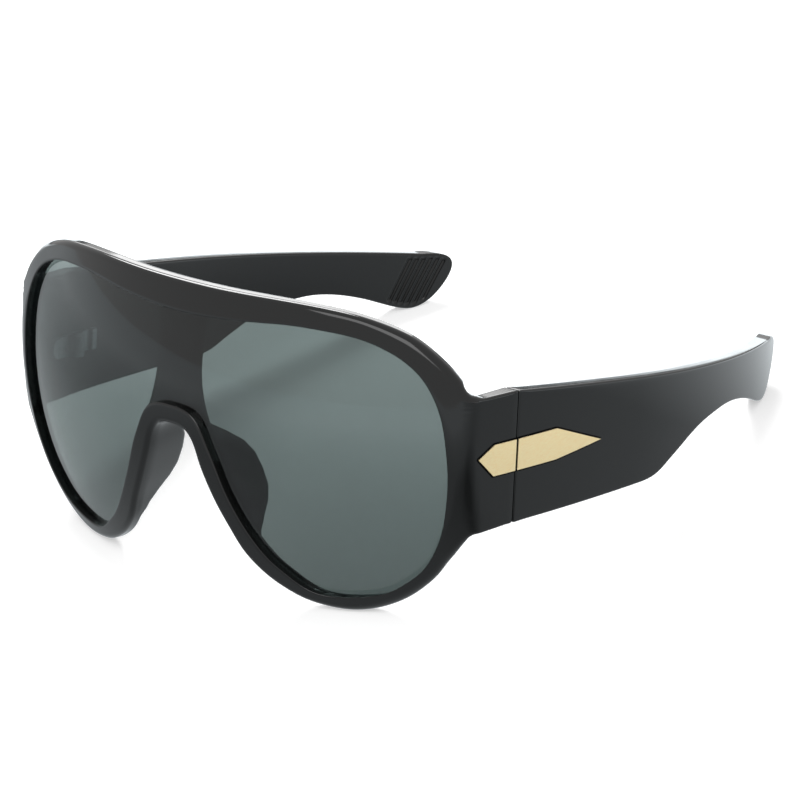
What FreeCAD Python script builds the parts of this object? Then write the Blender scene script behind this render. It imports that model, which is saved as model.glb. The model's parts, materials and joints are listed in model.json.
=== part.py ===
import FreeCAD, Part
import math
import os

V = FreeCAD.Vector

# Oversized shield sunglasses, drawn with the temples level and then tipped to rest on a table.
# In the drawing frame Y runs back from the middle of the front face and Z runs up from the lobes.

# Sizes in mm, angles in degrees
SIZES = {
    # Front
    "front_radius": 114.0,
    "pole_height": 47.5,
    "front_depth": 4.2,
    "front_height": 73.2,
    "side_half_width": 72.6,
    "wall": 4.0,
    "corner_round": 3.5,
    "inner_round": 2.5,
    "rim_edge_round": 1.2,
    "seam_setback": 38.8,
    "seam_gap": 0.3,
    "ear_top": 55.3,
    "ear_bottom": 23.9,
    "arch_height": 39.5,
    "ear_top_setback": 24.5,
    "ear_bottom_setback": 30.5,
    "ear_cove": 3.5,
    "seam_notch": 0.6,
    # Lens and its seat
    "opening_half_width": 65.1,
    "opening_bottom": 3.35,
    "opening_top": 68.0,
    "crown_height": 44.1,
    "lens_recess": 1.5,
    "lens_thickness": 1.2,
    "lens_seat": 1.0,
    "lens_play": 0.05,
    # Bridge column and nose pads
    "column_half_width": 6.4,
    "column_flare": 1.8,
    "column_depth": 1.7,
    "column_top": 68.8,
    "nose_half_width": 20.0,
    "pad_depth": 15.0,
    "pad_root": 1.0,
    "pad_thickness": 3.0,
    # Temples
    "crest_setback": 82.0,
    "bow_radius": 495.0,
    "tip_bend_radius": 190.0,
    "temple_length": 126.4,
    "temple_top": 55.3,
    "temple_bottom": 23.9,
    "tip_top": 41.6,
    "waist_height": 33.75,
    "tip_bottom": 27.1,
    "temple_edge_round": 1.1,
    # Ribs inside the temple tips
    "rib_count": 6,
    "rib_pitch": 1.6,
    "rib_radius": 0.5,
    "rib_length": 10.0,
    "rib_lean": 19.5,
    "rib_setback": 152.2,
    "rib_height": 35.4,
    # Inlays
    "inlay_height": 7.4,
    "inlay_nose": 12.4,
    "inlay_tail": 29.4,
    "inlay_nose_taper": 5.0,
    "inlay_tail_taper": 16.0,
    "inlay_nose_height": 41.2,
    "inlay_seam_height": 40.2,
    "inlay_tail_height": 38.2,
    "inlay_gap": 0.2,
    "inlay_sink": 0.8,
    "inlay_proud": 0.3,
    # Hinges
    "hinge_height": 37.0,
    "hinge_tall": 5.2,
    "hinge_reach": 7.8,
    "hinge_sink": 0.4,
    "leaf_thickness": 1.2,
    "barrel_radius": 1.75,
    "barrel_inset": 2.2,
    "middle_barrel": 1.8,
    "barrel_gap": 0.1,
    "swing_gap": 0.25,
    "bar_length": 1.6,
    "bar_thickness": 2.0,
    "screw_radius": 0.72,
    "screw_play": 0.05,
    "head_radius": 1.3,
    "head_height": 0.7,
    "slot_width": 0.4,
    "slot_depth": 0.35,
    "stud_radius": 0.8,
    "stud_length": 1.6,
    "stud_play": 0.05,
    "stud_setback": 5.2,
    "stud_spacing": 2.6,
    # Rest on a table
    "rest_tilt": 11.45,
    # Overrun of the cutting tools
    "overrun": 5.0,
}

# Closeness that counts as lying on a curve, and places along an edge where it is tested
FIT = SIZES["seam_gap"] / 100
EDGE_TEST_SHARES = (0.25, 0.5, 0.75)

# Numbers of walls that the long outlines are split into
BROW_RUNS = 6
LOBE_RUNS = 12
OPENING_RUNS = 16

# Outline points as shares, first of a half width and then of the rise between two heights
BROW_SHARES = [
    (1.05, 0.0), (0.99, 0.006), (0.957, 0.05), (0.926, 0.14), (0.892, 0.285), (0.852, 0.49),
    (0.782, 0.72), (0.71, 0.84), (0.62, 0.93), (0.51, 0.98), (0.386, 1.0), (0.2, 1.0), (0.0, 1.0),
]
LOBE_SHARES = [
    (1.05, 1.0), (0.99, 0.992), (0.957, 0.965), (0.93, 0.89), (0.907, 0.79), (0.876, 0.65),
    (0.846, 0.515), (0.803, 0.37), (0.747, 0.222), (0.678, 0.1), (0.62, 0.034), (0.555, 0.0),
    (0.489, 0.008), (0.42, 0.05), (0.358, 0.138), (0.306, 0.247), (0.268, 0.355),
]
NOSE_SHARES = [
    (0.238, 0.284), (0.2025, 0.41), (0.167, 0.54), (0.136, 0.663), (0.105, 0.815),
    (0.083, 0.924), (0.055, 0.98), (0.0, 1.0),
]
OPENING_SHARES = [
    (0.0, 0.971), (0.2, 0.979), (0.345, 0.991), (0.46, 1.0), (0.585, 0.998), (0.7, 0.986),
    (0.79, 0.958), (0.86, 0.918), (0.915, 0.864), (0.953, 0.802), (0.978, 0.728), (0.996, 0.62),
    (1.0, 0.513), (0.991, 0.41), (0.971, 0.31), (0.937, 0.223), (0.891, 0.148), (0.839, 0.097),
    (0.776, 0.05), (0.707, 0.022), (0.637, 0.007), (0.568, 0.0), (0.52, 0.004), (0.476, 0.022),
]
CROWN_SHARES = [
    (0.422, 0.1), (0.373, 0.168), (0.326, 0.264), (0.284, 0.372), (0.249, 0.482), (0.218, 0.595),
    (0.189, 0.718), (0.161, 0.816), (0.137, 0.899), (0.1045, 0.963), (0.06, 0.993), (0.0, 1.0),
]
# Underside of a temple behind its straight run, as shares of its length and of a rise
KNEE_SHARES = [(0.371, 0.0), (0.423, 0.08), (0.46, 0.28), (0.5, 0.5), (0.542, 0.72), (0.587, 0.88),
               (0.637, 0.97), (0.693, 1.0)]
TIP_SHARES = [(0.754, 0.857), (0.836, 0.42), (0.888, 0.075), (0.921, 0.0)]
END_SHARES = [(0.95, 0.1), (0.975, 0.3), (0.992, 0.52), (1.0, 0.72), (0.998, 0.85), (0.98, 0.96)]
TOP_END_SHARE = 0.933
# Nose pad sections: height, front and rear places sideways, depth
PAD_SHARES = [
    (0.26, 1.0, 1.005, 0.31), (0.36, 0.874, 0.872, 0.49), (0.43, 0.806, 0.833, 0.7),
    (0.5, 0.738, 0.794, 0.92), (0.58, 0.664, 0.74, 1.06), (0.68, 0.577, 0.655, 1.1),
    (0.78, 0.497, 0.57, 1.07), (0.86, 0.439, 0.5, 0.94), (0.92, 0.388, 0.441, 0.69),
    (0.965, 0.34, 0.388, 0.45),
]
# Rounding of the free end of a hinge leaf, as a share of its height
LEAF_END_SHARE = 0.48

doc = FreeCAD.newDocument("oversized_sunglasses")
sheet = doc.addObject("Spreadsheet::Sheet", "sizes")
for row, (alias, number) in enumerate(SIZES.items(), start=1):
    sheet.set("A%d" % row, alias)
    sheet.set("B%d" % row, str(number))
    sheet.setAlias("B%d" % row, alias)
doc.recompute()


def size(alias):
    return float(getattr(sheet, alias))


def between(low, high, share):
    return low + share * (high - low)


def both_sides(half):
    """Carries a half outline from the right edge to the middle over to the left edge."""
    return half + [(-x, z) for x, z in reversed(half[:-1])]


def spline(points, closed=False):
    curve = Part.BSplineCurve()
    curve.interpolate(Points=[V(x, y, 0) for x, y in points], PeriodicFlag=closed)
    return curve


def runs_of(curve, count):
    """Splits a curve into even runs, each of which becomes a wall of its own."""
    stops = [between(curve.FirstParameter, curve.LastParameter, k / count) for k in range(count + 1)]
    runs = []
    for start, stop in zip(stops, stops[1:]):
        run = curve.copy()
        run.segment(start, stop)
        runs.append(run)
    return runs


def smooth_spline(points, before, after):
    """Curve through points that leaves the line from one place and meets the line to another."""
    leave = V(points[0][0] - before[0], points[0][1] - before[1], 0).normalize()
    meet = V(after[0] - points[-1][0], after[1] - points[-1][1], 0).normalize()
    curve = Part.BSplineCurve()
    places = [V(x, y, 0) for x, y in points]
    curve.interpolate(Points=places, InitialTangent=leave, FinalTangent=meet, Scale=False)
    return curve


def line(first, second):
    return Part.LineSegment(V(first[0], first[1], 0), V(second[0], second[1], 0))


def polygon(points):
    return [line(a, b) for a, b in zip(points, points[1:] + points[:1])]


FRONT_VIEW = FreeCAD.Rotation(V(1, 0, 0), V(0, 0, 1), V(0, -1, 0), "XYZ")
SIDE_VIEW = FreeCAD.Rotation(V(0, 1, 0), V(0, 0, 1), V(1, 0, 0), "XYZ")
PLAN_VIEW = FreeCAD.Rotation()


def outline(name, geometry, view, base=V()):
    sketch = doc.addObject("Sketcher::SketchObject", name)
    sketch.Placement = FreeCAD.Placement(base, view)
    sketch.addGeometry(geometry, False)
    return sketch


def prism(name, sketch, direction, forward, backward="0"):
    solid = doc.addObject("Part::Extrusion", name)
    solid.Base = sketch
    solid.DirMode = "Custom"
    solid.Dir = direction
    solid.setExpression("LengthFwd", forward)
    solid.setExpression("LengthRev", backward)
    solid.Solid = True
    return solid


def ball(name, radius):
    solid = doc.addObject("Part::Sphere", name)
    solid.setExpression("Radius", radius)
    solid.setExpression("Placement.Base.y", "sizes.front_radius")
    solid.setExpression("Placement.Base.z", "sizes.pole_height")
    return solid


def boolean(kind, name, base, tool):
    result = doc.addObject("Part::" + kind, name)
    result.Base = base
    result.Tool = tool
    return result


def fuse(name, shapes):
    result = doc.addObject("Part::MultiFuse", name)
    result.Shapes = shapes
    return result


def mirrored(name, source):
    copy = doc.addObject("Part::Mirroring", name)
    copy.Source = source
    copy.Normal = V(1, 0, 0)
    return copy


def rounded(name, base, radius, chosen):
    """Rounds those edges of a shape for which the test holds."""
    doc.recompute()
    picks = [(i, radius, radius) for i, edge in enumerate(base.Shape.Edges, start=1) if chosen(edge)]
    result = doc.addObject("Part::Fillet", name)
    result.Base = base
    result.Edges = picks
    return result


def middle(edge):
    return edge.valueAt((edge.FirstParameter + edge.LastParameter) / 2)


# Plan of the sides: one wide arc to the crest, then a tighter one to the tip
def side_x(y, inset):
    """Distance of a side face from the middle plane at a setback y."""
    run = y - size("crest_setback")
    radius = size("bow_radius" if run < 0 else "tip_bend_radius")
    return size("side_half_width") - radius + math.sqrt((radius - inset) ** 2 - run ** 2)


def side_arc(start, end, inset):
    half_way = (start + end) / 2
    points = [V(side_x(y, inset), y, 0) for y in (start, half_way, end)]
    return Part.Arc(*points)


def side_band(name, start, end, inset_out, inset_in):
    """Plan of a wall between two setbacks, between two insets from the outer side face."""
    crest = size("crest_setback")
    stops = [start, end] if end <= crest else [start, crest, end]
    runs = list(zip(stops, stops[1:]))
    geometry = [side_arc(a, b, inset_out) for a, b in runs]
    geometry += [side_arc(a, b, inset_in) for a, b in runs]
    for y in (start, end):
        geometry.append(line((side_x(y, inset_out), y), (side_x(y, inset_in), y)))
    return outline(name, geometry, PLAN_VIEW)


over = size("overrun")
seam_front = size("seam_setback") - size("seam_gap") / 2
seam_back = size("seam_setback") + size("seam_gap") / 2
tip_end = size("seam_setback") + size("temple_length")
TALL = "sizes.front_height + sizes.overrun"
ACROSS = "sizes.side_half_width + sizes.overrun"
DEEP = "sizes.seam_setback - sizes.seam_gap / 2"

# Front: a ball cut to the side faces, hollowed to an even depth
brow = [(x * size("side_half_width"), between(size("ear_top"), size("front_height"), t))
        for x, t in BROW_SHARES]
lobe = [(x * size("side_half_width"), t * size("ear_bottom")) for x, t in LOBE_SHARES]
lobe += [(x * size("side_half_width"), t * size("arch_height")) for x, t in NOSE_SHARES]
upper = both_sides(brow)
lower = both_sides(lobe)
rim_curves = [spline(upper), spline(lower)]
rim_walls = runs_of(rim_curves[0], BROW_RUNS) + runs_of(rim_curves[1], LOBE_RUNS)
rim_sketch = outline("rim_outline", rim_walls + [
    line(upper[0], lower[0]), line(upper[-1], lower[-1]),
], FRONT_VIEW)
rim_prism = prism("rim_prism", rim_sketch, V(0, 1, 0), DEEP, "sizes.overrun")

outer_plan = outline("outer_plan", [
    side_arc(0, seam_front, 0),
    line((side_x(0, 0), 0), (-side_x(0, 0), 0)),
    Part.Arc(*[V(-side_x(y, 0), y, 0) for y in (0, seam_front / 2, seam_front)]),
    line((side_x(seam_front, 0), seam_front), (-side_x(seam_front, 0), seam_front)),
], PLAN_VIEW)
inner_end = seam_front + over
inner_plan = outline("inner_plan", [
    side_arc(0, inner_end, size("wall")),
    line((side_x(0, size("wall")), 0), (-side_x(0, size("wall")), 0)),
    Part.Arc(*[V(-side_x(y, size("wall")), y, 0) for y in (0, inner_end / 2, inner_end)]),
    line((side_x(inner_end, size("wall")), inner_end), (-side_x(inner_end, size("wall")), inner_end)),
], PLAN_VIEW)
outer_ball = ball("outer_ball", "sizes.front_radius")
inner_ball = ball("inner_ball", "sizes.front_radius - sizes.front_depth")
outer_prism = prism("outer_prism", outer_plan, V(0, 0, 1), TALL, "sizes.overrun")
inner_prism = prism("inner_prism", inner_plan, V(0, 0, 1), TALL, "sizes.overrun")
outer_block = boolean("Common", "outer_block", outer_ball, outer_prism)
inner_block = boolean("Common", "inner_block", inner_ball, inner_prism)


ball_centre = V(0, size("front_radius"), size("pole_height"))


def on_ball(edge, radius):
    """Tells the upright corner edges, which lie on the ball away from the middle."""
    place = middle(edge)
    upright = abs(place.z - size("front_height") / 2) < size("front_height") / 4
    near_side = abs(place.x) > size("opening_half_width") - over
    return upright and near_side and math.isclose((place - ball_centre).Length, radius, rel_tol=1e-6) \
        and place.y < size("seam_setback") - over / 4


outer_round = rounded("outer_round", outer_block, size("corner_round"),
                      lambda edge: on_ball(edge, size("front_radius")))
inner_round = rounded("inner_round", inner_block, size("inner_round"),
                      lambda edge: on_ball(edge, size("front_radius") - size("front_depth")))
front_shell = boolean("Cut", "front_shell", outer_round, inner_round)
rim_blank = boolean("Common", "rim_blank", front_shell, rim_prism)


def on_rim_wall(edge):
    """Tells the edges that follow the rim outline, apart from those in the seam."""
    for share in EDGE_TEST_SHARES:
        place = edge.valueAt(between(edge.FirstParameter, edge.LastParameter, share))
        spot = V(place.x, place.z, 0)
        off = min((curve.value(curve.parameter(spot)) - spot).Length for curve in rim_curves)
        if off > FIT or place.y > seam_front - FIT:
            return False
    back_face = size("front_radius") - size("front_depth") / 2
    in_front = (middle(edge) - ball_centre).Length > back_face or middle(edge).y > seam_front - 2 * over
    return in_front or middle(edge).z > size("ear_top")


rim_round = rounded("rim_round", rim_blank, size("rim_edge_round"), on_rim_wall)


# End pieces: just ahead of the seam they are as tall as the temples, with a cove up to the rim
def cove_arc(setback, level, way):
    """Quarter arc from a level line to an upright one, going up or down."""
    radius = size("ear_cove")
    slant = radius * (1 - math.sqrt(0.5))
    return Part.Arc(V(setback + radius, level, 0), V(setback + slant, level + way * slant, 0),
                    V(setback, level + way * radius, 0))


upper_arc = cove_arc(size("ear_top_setback"), size("ear_top"), 1)
lower_arc = cove_arc(size("ear_bottom_setback"), size("ear_bottom"), -1)
top_edge = size("front_height") + over
stops = [
    (upper_arc.EndPoint.x, upper_arc.EndPoint.y), (upper_arc.EndPoint.x, top_edge), (-over, top_edge),
    (-over, -over), (lower_arc.EndPoint.x, -over), (lower_arc.EndPoint.x, lower_arc.EndPoint.y),
]
end_stops = [
    (lower_arc.StartPoint.x, lower_arc.StartPoint.y), (inner_end, size("ear_bottom")),
    (inner_end, size("ear_top")), (upper_arc.StartPoint.x, upper_arc.StartPoint.y),
]
keep_sketch = outline("end_piece_outline", [upper_arc, lower_arc]
                      + [line(a, b) for a, b in zip(stops, stops[1:])]
                      + [line(a, b) for a, b in zip(end_stops, end_stops[1:])], SIDE_VIEW)
keep_prism = prism("end_piece_prism", keep_sketch, V(1, 0, 0), ACROSS, ACROSS)
rim_trim = boolean("Common", "rim_trim", rim_round, keep_prism)

# Lens opening, its seat and the lens
opening_half = [(x * size("opening_half_width"), between(size("opening_bottom"), size("opening_top"), t))
                for x, t in OPENING_SHARES]
opening_half += [(x * size("opening_half_width"), between(size("opening_bottom"), size("crown_height"), t))
                 for x, t in CROWN_SHARES]
opening_points = opening_half + [(-x, z) for x, z in reversed(opening_half[1:-1])]


def grown(points, amount):
    """Moves the points of a closed curve outward, square to the curve."""
    curve = spline(points, closed=True)
    moved = []
    for x, y in points:
        along = curve.tangent(curve.parameter(V(x, y, 0)))[0]
        moved.append((x - along.y * amount, y + along.x * amount))
    return moved


def opening_outline(name, points):
    return outline(name, runs_of(spline(points, closed=True), OPENING_RUNS), FRONT_VIEW)


opening_sketch = opening_outline("opening_outline", opening_points)
lens_sketch = opening_outline("lens_outline", grown(opening_points, size("lens_seat") - size("lens_play")))
seat_sketch = opening_outline("seat_outline", grown(opening_points, size("lens_seat")))
opening_prism = prism("opening_prism", opening_sketch, V(0, 1, 0), DEEP, "sizes.overrun")
lens_prism = prism("lens_prism", lens_sketch, V(0, 1, 0), DEEP, "sizes.overrun")
seat_prism = prism("seat_prism", seat_sketch, V(0, 1, 0), DEEP, "sizes.overrun")
LENS_FRONT = "sizes.front_radius - sizes.lens_recess"
LENS_BACK = LENS_FRONT + " - sizes.lens_thickness"
lens_shell = boolean("Cut", "lens_shell", ball("lens_front", LENS_FRONT), ball("lens_back", LENS_BACK))
lens = boolean("Common", "shield_lens", lens_shell, lens_prism)
seat_shell = boolean("Cut", "seat_shell", ball("seat_front", LENS_FRONT + " + sizes.lens_play"),
                     ball("seat_back", LENS_BACK + " - sizes.lens_play"))
lens_seat = boolean("Common", "lens_seat", seat_shell, seat_prism)
rim_open = boolean("Cut", "rim_open", rim_trim, opening_prism)

# Bridge column behind the lens
column_end = size("column_half_width") + size("column_flare")
column_mid = between(size("arch_height"), size("column_top"), 0.5)
column_sketch = outline("column_outline", [
    line((-column_end, size("column_top")), (column_end, size("column_top"))),
    line((-column_end, size("arch_height")), (column_end, size("arch_height"))),
    Part.Arc(V(column_end, size("arch_height"), 0), V(size("column_half_width"), column_mid, 0),
             V(column_end, size("column_top"), 0)),
    Part.Arc(V(-column_end, size("arch_height"), 0), V(-size("column_half_width"), column_mid, 0),
             V(-column_end, size("column_top"), 0)),
], FRONT_VIEW)
column_prism = prism("column_prism", column_sketch, V(0, 1, 0), DEEP)
column_shell = boolean("Cut", "column_shell", ball("column_front", LENS_BACK + " - 2 * sizes.lens_play"),
                       ball("column_back", LENS_BACK + " - sizes.column_depth"))
column = boolean("Common", "bridge_column", column_shell, column_prism)

# Nose pads, lofted through level sections
pad_sections = []
for number, (height, front, rear, depth) in enumerate(PAD_SHARES, start=1):
    z = height * size("arch_height")
    x_front = front * size("nose_half_width")
    x_rear = rear * size("nose_half_width")
    rise = z - size("pole_height")
    face = size("front_radius") - math.sqrt(size("front_radius") ** 2 - x_front ** 2 - rise ** 2)
    root = V(x_front, face + size("pad_root"), z)
    edge = V(x_rear, face + depth * size("pad_depth"), z)
    turn = math.degrees(math.atan2(edge.y - root.y, edge.x - root.x))
    section = doc.addObject("Part::Ellipse", "pad_section_%d" % number)
    section.MajorRadius = (edge - root).Length / 2
    section.setExpression("MinorRadius", "sizes.pad_thickness / 2")
    section.Placement = FreeCAD.Placement((root + edge) / 2, FreeCAD.Rotation(V(0, 0, 1), turn))
    pad_sections.append(section)
left_pad = doc.addObject("Part::Loft", "left_pad")
left_pad.Sections = pad_sections
left_pad.Solid = True
right_pad = mirrored("right_pad", left_pad)
front_blank = fuse("front_blank", [rim_open, column, left_pad, right_pad])
front_body = boolean("Cut", "front_body", front_blank, lens_seat)

# Hinge seat: a flat sunk in the inner faces of the end piece and the temple, across the seam
bow = math.degrees(math.asin((size("crest_setback") - size("seam_setback")) / size("bow_radius")))
seat_turn = FreeCAD.Rotation(V(0, 0, 1), 90 - bow)
inset = size("wall") - size("hinge_sink")
seat_place = V(side_x(size("seam_setback"), inset), size("seam_setback"), size("hinge_height"))
hinge_place = FreeCAD.Placement(seat_place, seat_turn)

hinge_seat = doc.addObject("Part::Box", "hinge_seat")
hinge_seat.setExpression("Length", "2 * sizes.hinge_reach + 2 * sizes.swing_gap")
hinge_seat.setExpression("Width", "sizes.overrun")
hinge_seat.setExpression("Height", "sizes.hinge_tall + 2 * sizes.swing_gap")
hinge_seat.Placement = hinge_place.multiply(FreeCAD.Placement(
    V(-size("hinge_reach") - size("swing_gap"), 0, -size("hinge_tall") / 2 - size("swing_gap")),
    FreeCAD.Rotation()))


def stud_hole(name, along, up):
    hole = doc.addObject("Part::Cylinder", name)
    hole.setExpression("Radius", "sizes.stud_radius + sizes.stud_play")
    hole.setExpression("Height", "sizes.stud_length + sizes.stud_play + sizes.overrun / 2")
    hole.Placement = hinge_place.multiply(FreeCAD.Placement(
        V(along, size("overrun") / 2, up), FreeCAD.Rotation(V(1, 0, 0), 90)))
    return hole


stud_up = size("stud_spacing") / 2
front_holes = [stud_hole("front_hole_%d" % i, -size("stud_setback"), up)
               for i, up in enumerate((-stud_up, stud_up), start=1)]
temple_holes = [stud_hole("temple_hole_%d" % i, size("stud_setback"), up)
                for i, up in enumerate((-stud_up, stud_up), start=1)]


# Inlays: a long pointed plate split at the seam, let into the side faces
def inlay_outline(name, ahead, grow):
    """Plate on one side of the seam; the point keeps its angle when the outline grows."""
    half = size("inlay_height") / 2 + grow
    mid = size("inlay_seam_height")
    if ahead:
        cut = seam_front - size("inlay_gap") + grow
        shoulder = size("seam_setback") - size("inlay_nose") + size("inlay_nose_taper")
        point = size("seam_setback") - size("inlay_nose") - grow
        point_height = size("inlay_nose_height")
    else:
        cut = seam_back + size("inlay_gap") - grow
        shoulder = size("seam_setback") + size("inlay_tail") - size("inlay_tail_taper")
        point = size("seam_setback") + size("inlay_tail") + grow
        point_height = size("inlay_tail_height")
    points = [(cut, mid + half), (shoulder, mid + half), (point, point_height),
              (shoulder, mid - half), (cut, mid - half)]
    return outline(name, polygon(points), SIDE_VIEW)


def inlay_band(name, inset_out, inset_in):
    start = size("seam_setback") - size("inlay_nose") - over
    end = size("crest_setback")
    band = side_band(name + "_plan", start, end, inset_out, inset_in)
    return prism(name, band, V(0, 0, 1), TALL)


plate_band = inlay_band("plate_band", -size("inlay_proud"), size("inlay_sink"))
pocket_band = inlay_band("pocket_band", -over, size("inlay_sink"))
front_plate = prism("front_plate", inlay_outline("front_plate_outline", True, 0), V(1, 0, 0), ACROSS)
temple_plate = prism("temple_plate", inlay_outline("temple_plate_outline", False, 0), V(1, 0, 0), ACROSS)
front_room = prism("front_room", inlay_outline("front_room_outline", True, size("inlay_gap")),
                   V(1, 0, 0), ACROSS)
temple_room = prism("temple_room", inlay_outline("temple_room_outline", False, size("inlay_gap")),
                    V(1, 0, 0), ACROSS)
front_inlay = boolean("Common", "left_front_inlay", plate_band, front_plate)
temple_inlay = boolean("Common", "left_temple_inlay", plate_band, temple_plate)
front_pocket = boolean("Common", "front_pocket", pocket_band, front_room)
temple_pocket = boolean("Common", "temple_pocket", pocket_band, temple_room)

# Notches where the seam meets the top and the bottom of the side
notch = size("seam_notch")
notches = []
for name, level in (("top_notch", size("temple_top")), ("bottom_notch", size("temple_bottom"))):
    corners = [(size("seam_setback") - notch, level), (size("seam_setback"), level - notch),
               (size("seam_setback") + notch, level), (size("seam_setback"), level + notch)]
    notches.append(prism(name, outline(name + "_outline", polygon(corners), SIDE_VIEW), V(1, 0, 0), ACROSS))

front_tools = fuse("front_tools", [hinge_seat, front_pocket] + front_holes + notches)
front_tools_right = mirrored("front_tools_right", front_tools)
front_left_cut = boolean("Cut", "front_left_cut", front_body, front_tools)
front = boolean("Cut", "front_frame", front_left_cut, front_tools_right)

# Temple: side outline meeting the bowed plan
length = size("temple_length")
seam = size("seam_setback")


def along_temple(shares, low, high):
    return [(seam + y * length, between(low, high, t)) for y, t in shares]


knee = along_temple(KNEE_SHARES, size("temple_bottom"), size("waist_height"))
tip = along_temple(TIP_SHARES, size("tip_bottom"), size("waist_height"))
end = along_temple(END_SHARES, size("tip_bottom"), size("tip_top"))
top_end = (seam + TOP_END_SHARE * length, size("tip_top"))
root_top = (seam_back, size("temple_top"))
root_bottom = (seam_back, size("temple_bottom"))
temple_sketch = outline("temple_outline", [
    line(root_top, top_end),
    line(root_top, root_bottom),
    line(root_bottom, knee[0]),
    smooth_spline(knee + tip + end + [top_end], root_bottom, root_top),
], SIDE_VIEW)
temple_side = prism("temple_side", temple_sketch, V(1, 0, 0), ACROSS)
temple_plan = side_band("temple_plan", seam, tip_end + over, 0, size("wall"))
temple_band = prism("temple_band", temple_plan, V(0, 0, 1), TALL)
temple_blank = boolean("Common", "temple_blank", temple_band, temple_side)


def on_temple_rim(edge):
    """Tells the edges that run along the temple on its inner and outer faces."""
    for share in EDGE_TEST_SHARES:
        place = edge.valueAt(between(edge.FirstParameter, edge.LastParameter, share))
        off = min(abs(place.x - side_x(place.y, inset)) for inset in (0, size("wall")))
        if off > FIT or place.y < seam_back + FIT:
            return False
    return abs(middle(edge).y - size("crest_setback")) > FIT


temple_round = rounded("temple_round", temple_blank, size("temple_edge_round"), on_temple_rim)

# Ribs: half-round grooves across the inner face of the tip
grooves = []
for number in range(int(size("rib_count"))):
    y = size("rib_setback") + (number - (size("rib_count") - 1) / 2) * size("rib_pitch")
    groove = doc.addObject("Part::Cylinder", "rib_groove_%d" % (number + 1))
    groove.setExpression("Radius", "sizes.rib_radius")
    groove.setExpression("Height", "sizes.rib_length")
    slope = math.degrees(math.asin((y - size("crest_setback")) / size("tip_bend_radius")))
    turn = FreeCAD.Rotation(V(0, 0, 1), slope).multiply(FreeCAD.Rotation(V(1, 0, 0), -size("rib_lean")))
    start = turn.multVec(V(0, 0, -size("rib_length") / 2))
    groove.Placement = FreeCAD.Placement(V(side_x(y, size("wall")), y, size("rib_height")) + start, turn)
    grooves.append(groove)
temple_tools = fuse("temple_tools", [hinge_seat, temple_pocket] + temple_holes + grooves + notches)
temple = boolean("Cut", "left_temple", temple_round, temple_tools)


# Hinge pieces, drawn about the pin: X back along the temple, Y inward from the seat, Z up
def body(name):
    return doc.addObject("PartDesign::Body", name)


def body_sketch(owner, name, plane, geometry):
    sketch = owner.newObject("Sketcher::SketchObject", name)
    planes = {feature.Role: feature for feature in owner.Origin.OriginFeatures}
    sketch.AttachmentSupport = [(planes[plane], "")]
    sketch.MapMode = "FlatFace"
    sketch.addGeometry(geometry, False)
    return sketch


def feature(owner, kind, name, sketch):
    item = owner.newObject("PartDesign::" + kind, name)
    item.Profile = sketch
    sketch.Visibility = False
    return item


def level_pad(owner, name, geometry, height):
    pad = feature(owner, "Pad", name, body_sketch(owner, name + "_sketch", "XY_Plane", geometry))
    pad.Midplane = True
    pad.setExpression("Length", height)
    return pad


def level_pocket(owner, name, geometry, height):
    pocket = feature(owner, "Pocket", name, body_sketch(owner, name + "_sketch", "XY_Plane", geometry))
    pocket.Midplane = True
    pocket.setExpression("Length", height)
    return pocket


def circle(x, y, radius):
    return Part.Circle(V(x, y, 0), V(0, 0, 1), radius)


def studs(owner, name, along):
    sketch = body_sketch(owner, name + "_sketch", "XZ_Plane", [
        circle(along, up, size("stud_radius")) for up in (-stud_up, stud_up)])
    pad = feature(owner, "Pad", name, sketch)
    pad.setExpression("Length", "sizes.stud_length")
    return pad


pin = size("barrel_inset")
barrel = size("barrel_radius")
plate = size("leaf_thickness")
reach = size("hinge_reach")
clear = barrel + size("swing_gap")
tall = size("hinge_tall")
edge_gap = size("seam_gap")

front_leaf = body("left_front_hinge_leaf")
leaf_plate = level_pad(front_leaf, "front_leaf_plate", polygon([
    (-reach, 0), (-edge_gap, 0), (-edge_gap, pin), (-barrel, pin), (-clear, plate), (-reach, plate)]),
    "sizes.hinge_tall")
doc.recompute()
leaf_end = front_leaf.newObject("PartDesign::Fillet", "front_leaf_end")
leaf_end.Base = (leaf_plate, ["Edge%d" % i for i, edge in enumerate(leaf_plate.Shape.Edges, start=1)
                              if abs(middle(edge).x + reach) < FIT and abs(middle(edge).z) > tall / 2 - FIT])
leaf_end.setExpression("Radius", "%s * sizes.hinge_tall" % LEAF_END_SHARE)
level_pad(front_leaf, "front_barrel", [circle(0, pin, barrel)], "sizes.hinge_tall")
level_pocket(front_leaf, "front_slot", [circle(0, pin, clear)],
             "sizes.middle_barrel + 2 * sizes.barrel_gap")
level_pocket(front_leaf, "front_bore", [circle(0, pin, size("screw_radius") + size("screw_play"))],
             "2 * sizes.hinge_tall")
studs(front_leaf, "front_studs", -size("stud_setback"))

temple_leaf = body("left_temple_hinge_leaf")
level_pad(temple_leaf, "temple_leaf_plate", polygon([
    (clear, 0), (reach, 0), (reach, size("bar_thickness")),
    (reach - size("bar_length"), size("bar_thickness")), (reach - size("bar_length"), plate),
    (clear, plate)]), "sizes.hinge_tall")
level_pad(temple_leaf, "temple_web", polygon([
    (edge_gap, 0), (clear + plate, 0), (clear + plate, plate), (barrel, pin), (edge_gap, pin)]),
    "sizes.middle_barrel")
level_pad(temple_leaf, "temple_barrel", [circle(0, pin, barrel)], "sizes.middle_barrel")
level_pocket(temple_leaf, "temple_bore", [circle(0, pin, size("screw_radius") + size("screw_play"))],
             "2 * sizes.hinge_tall")
studs(temple_leaf, "temple_studs", size("stud_setback"))

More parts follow.
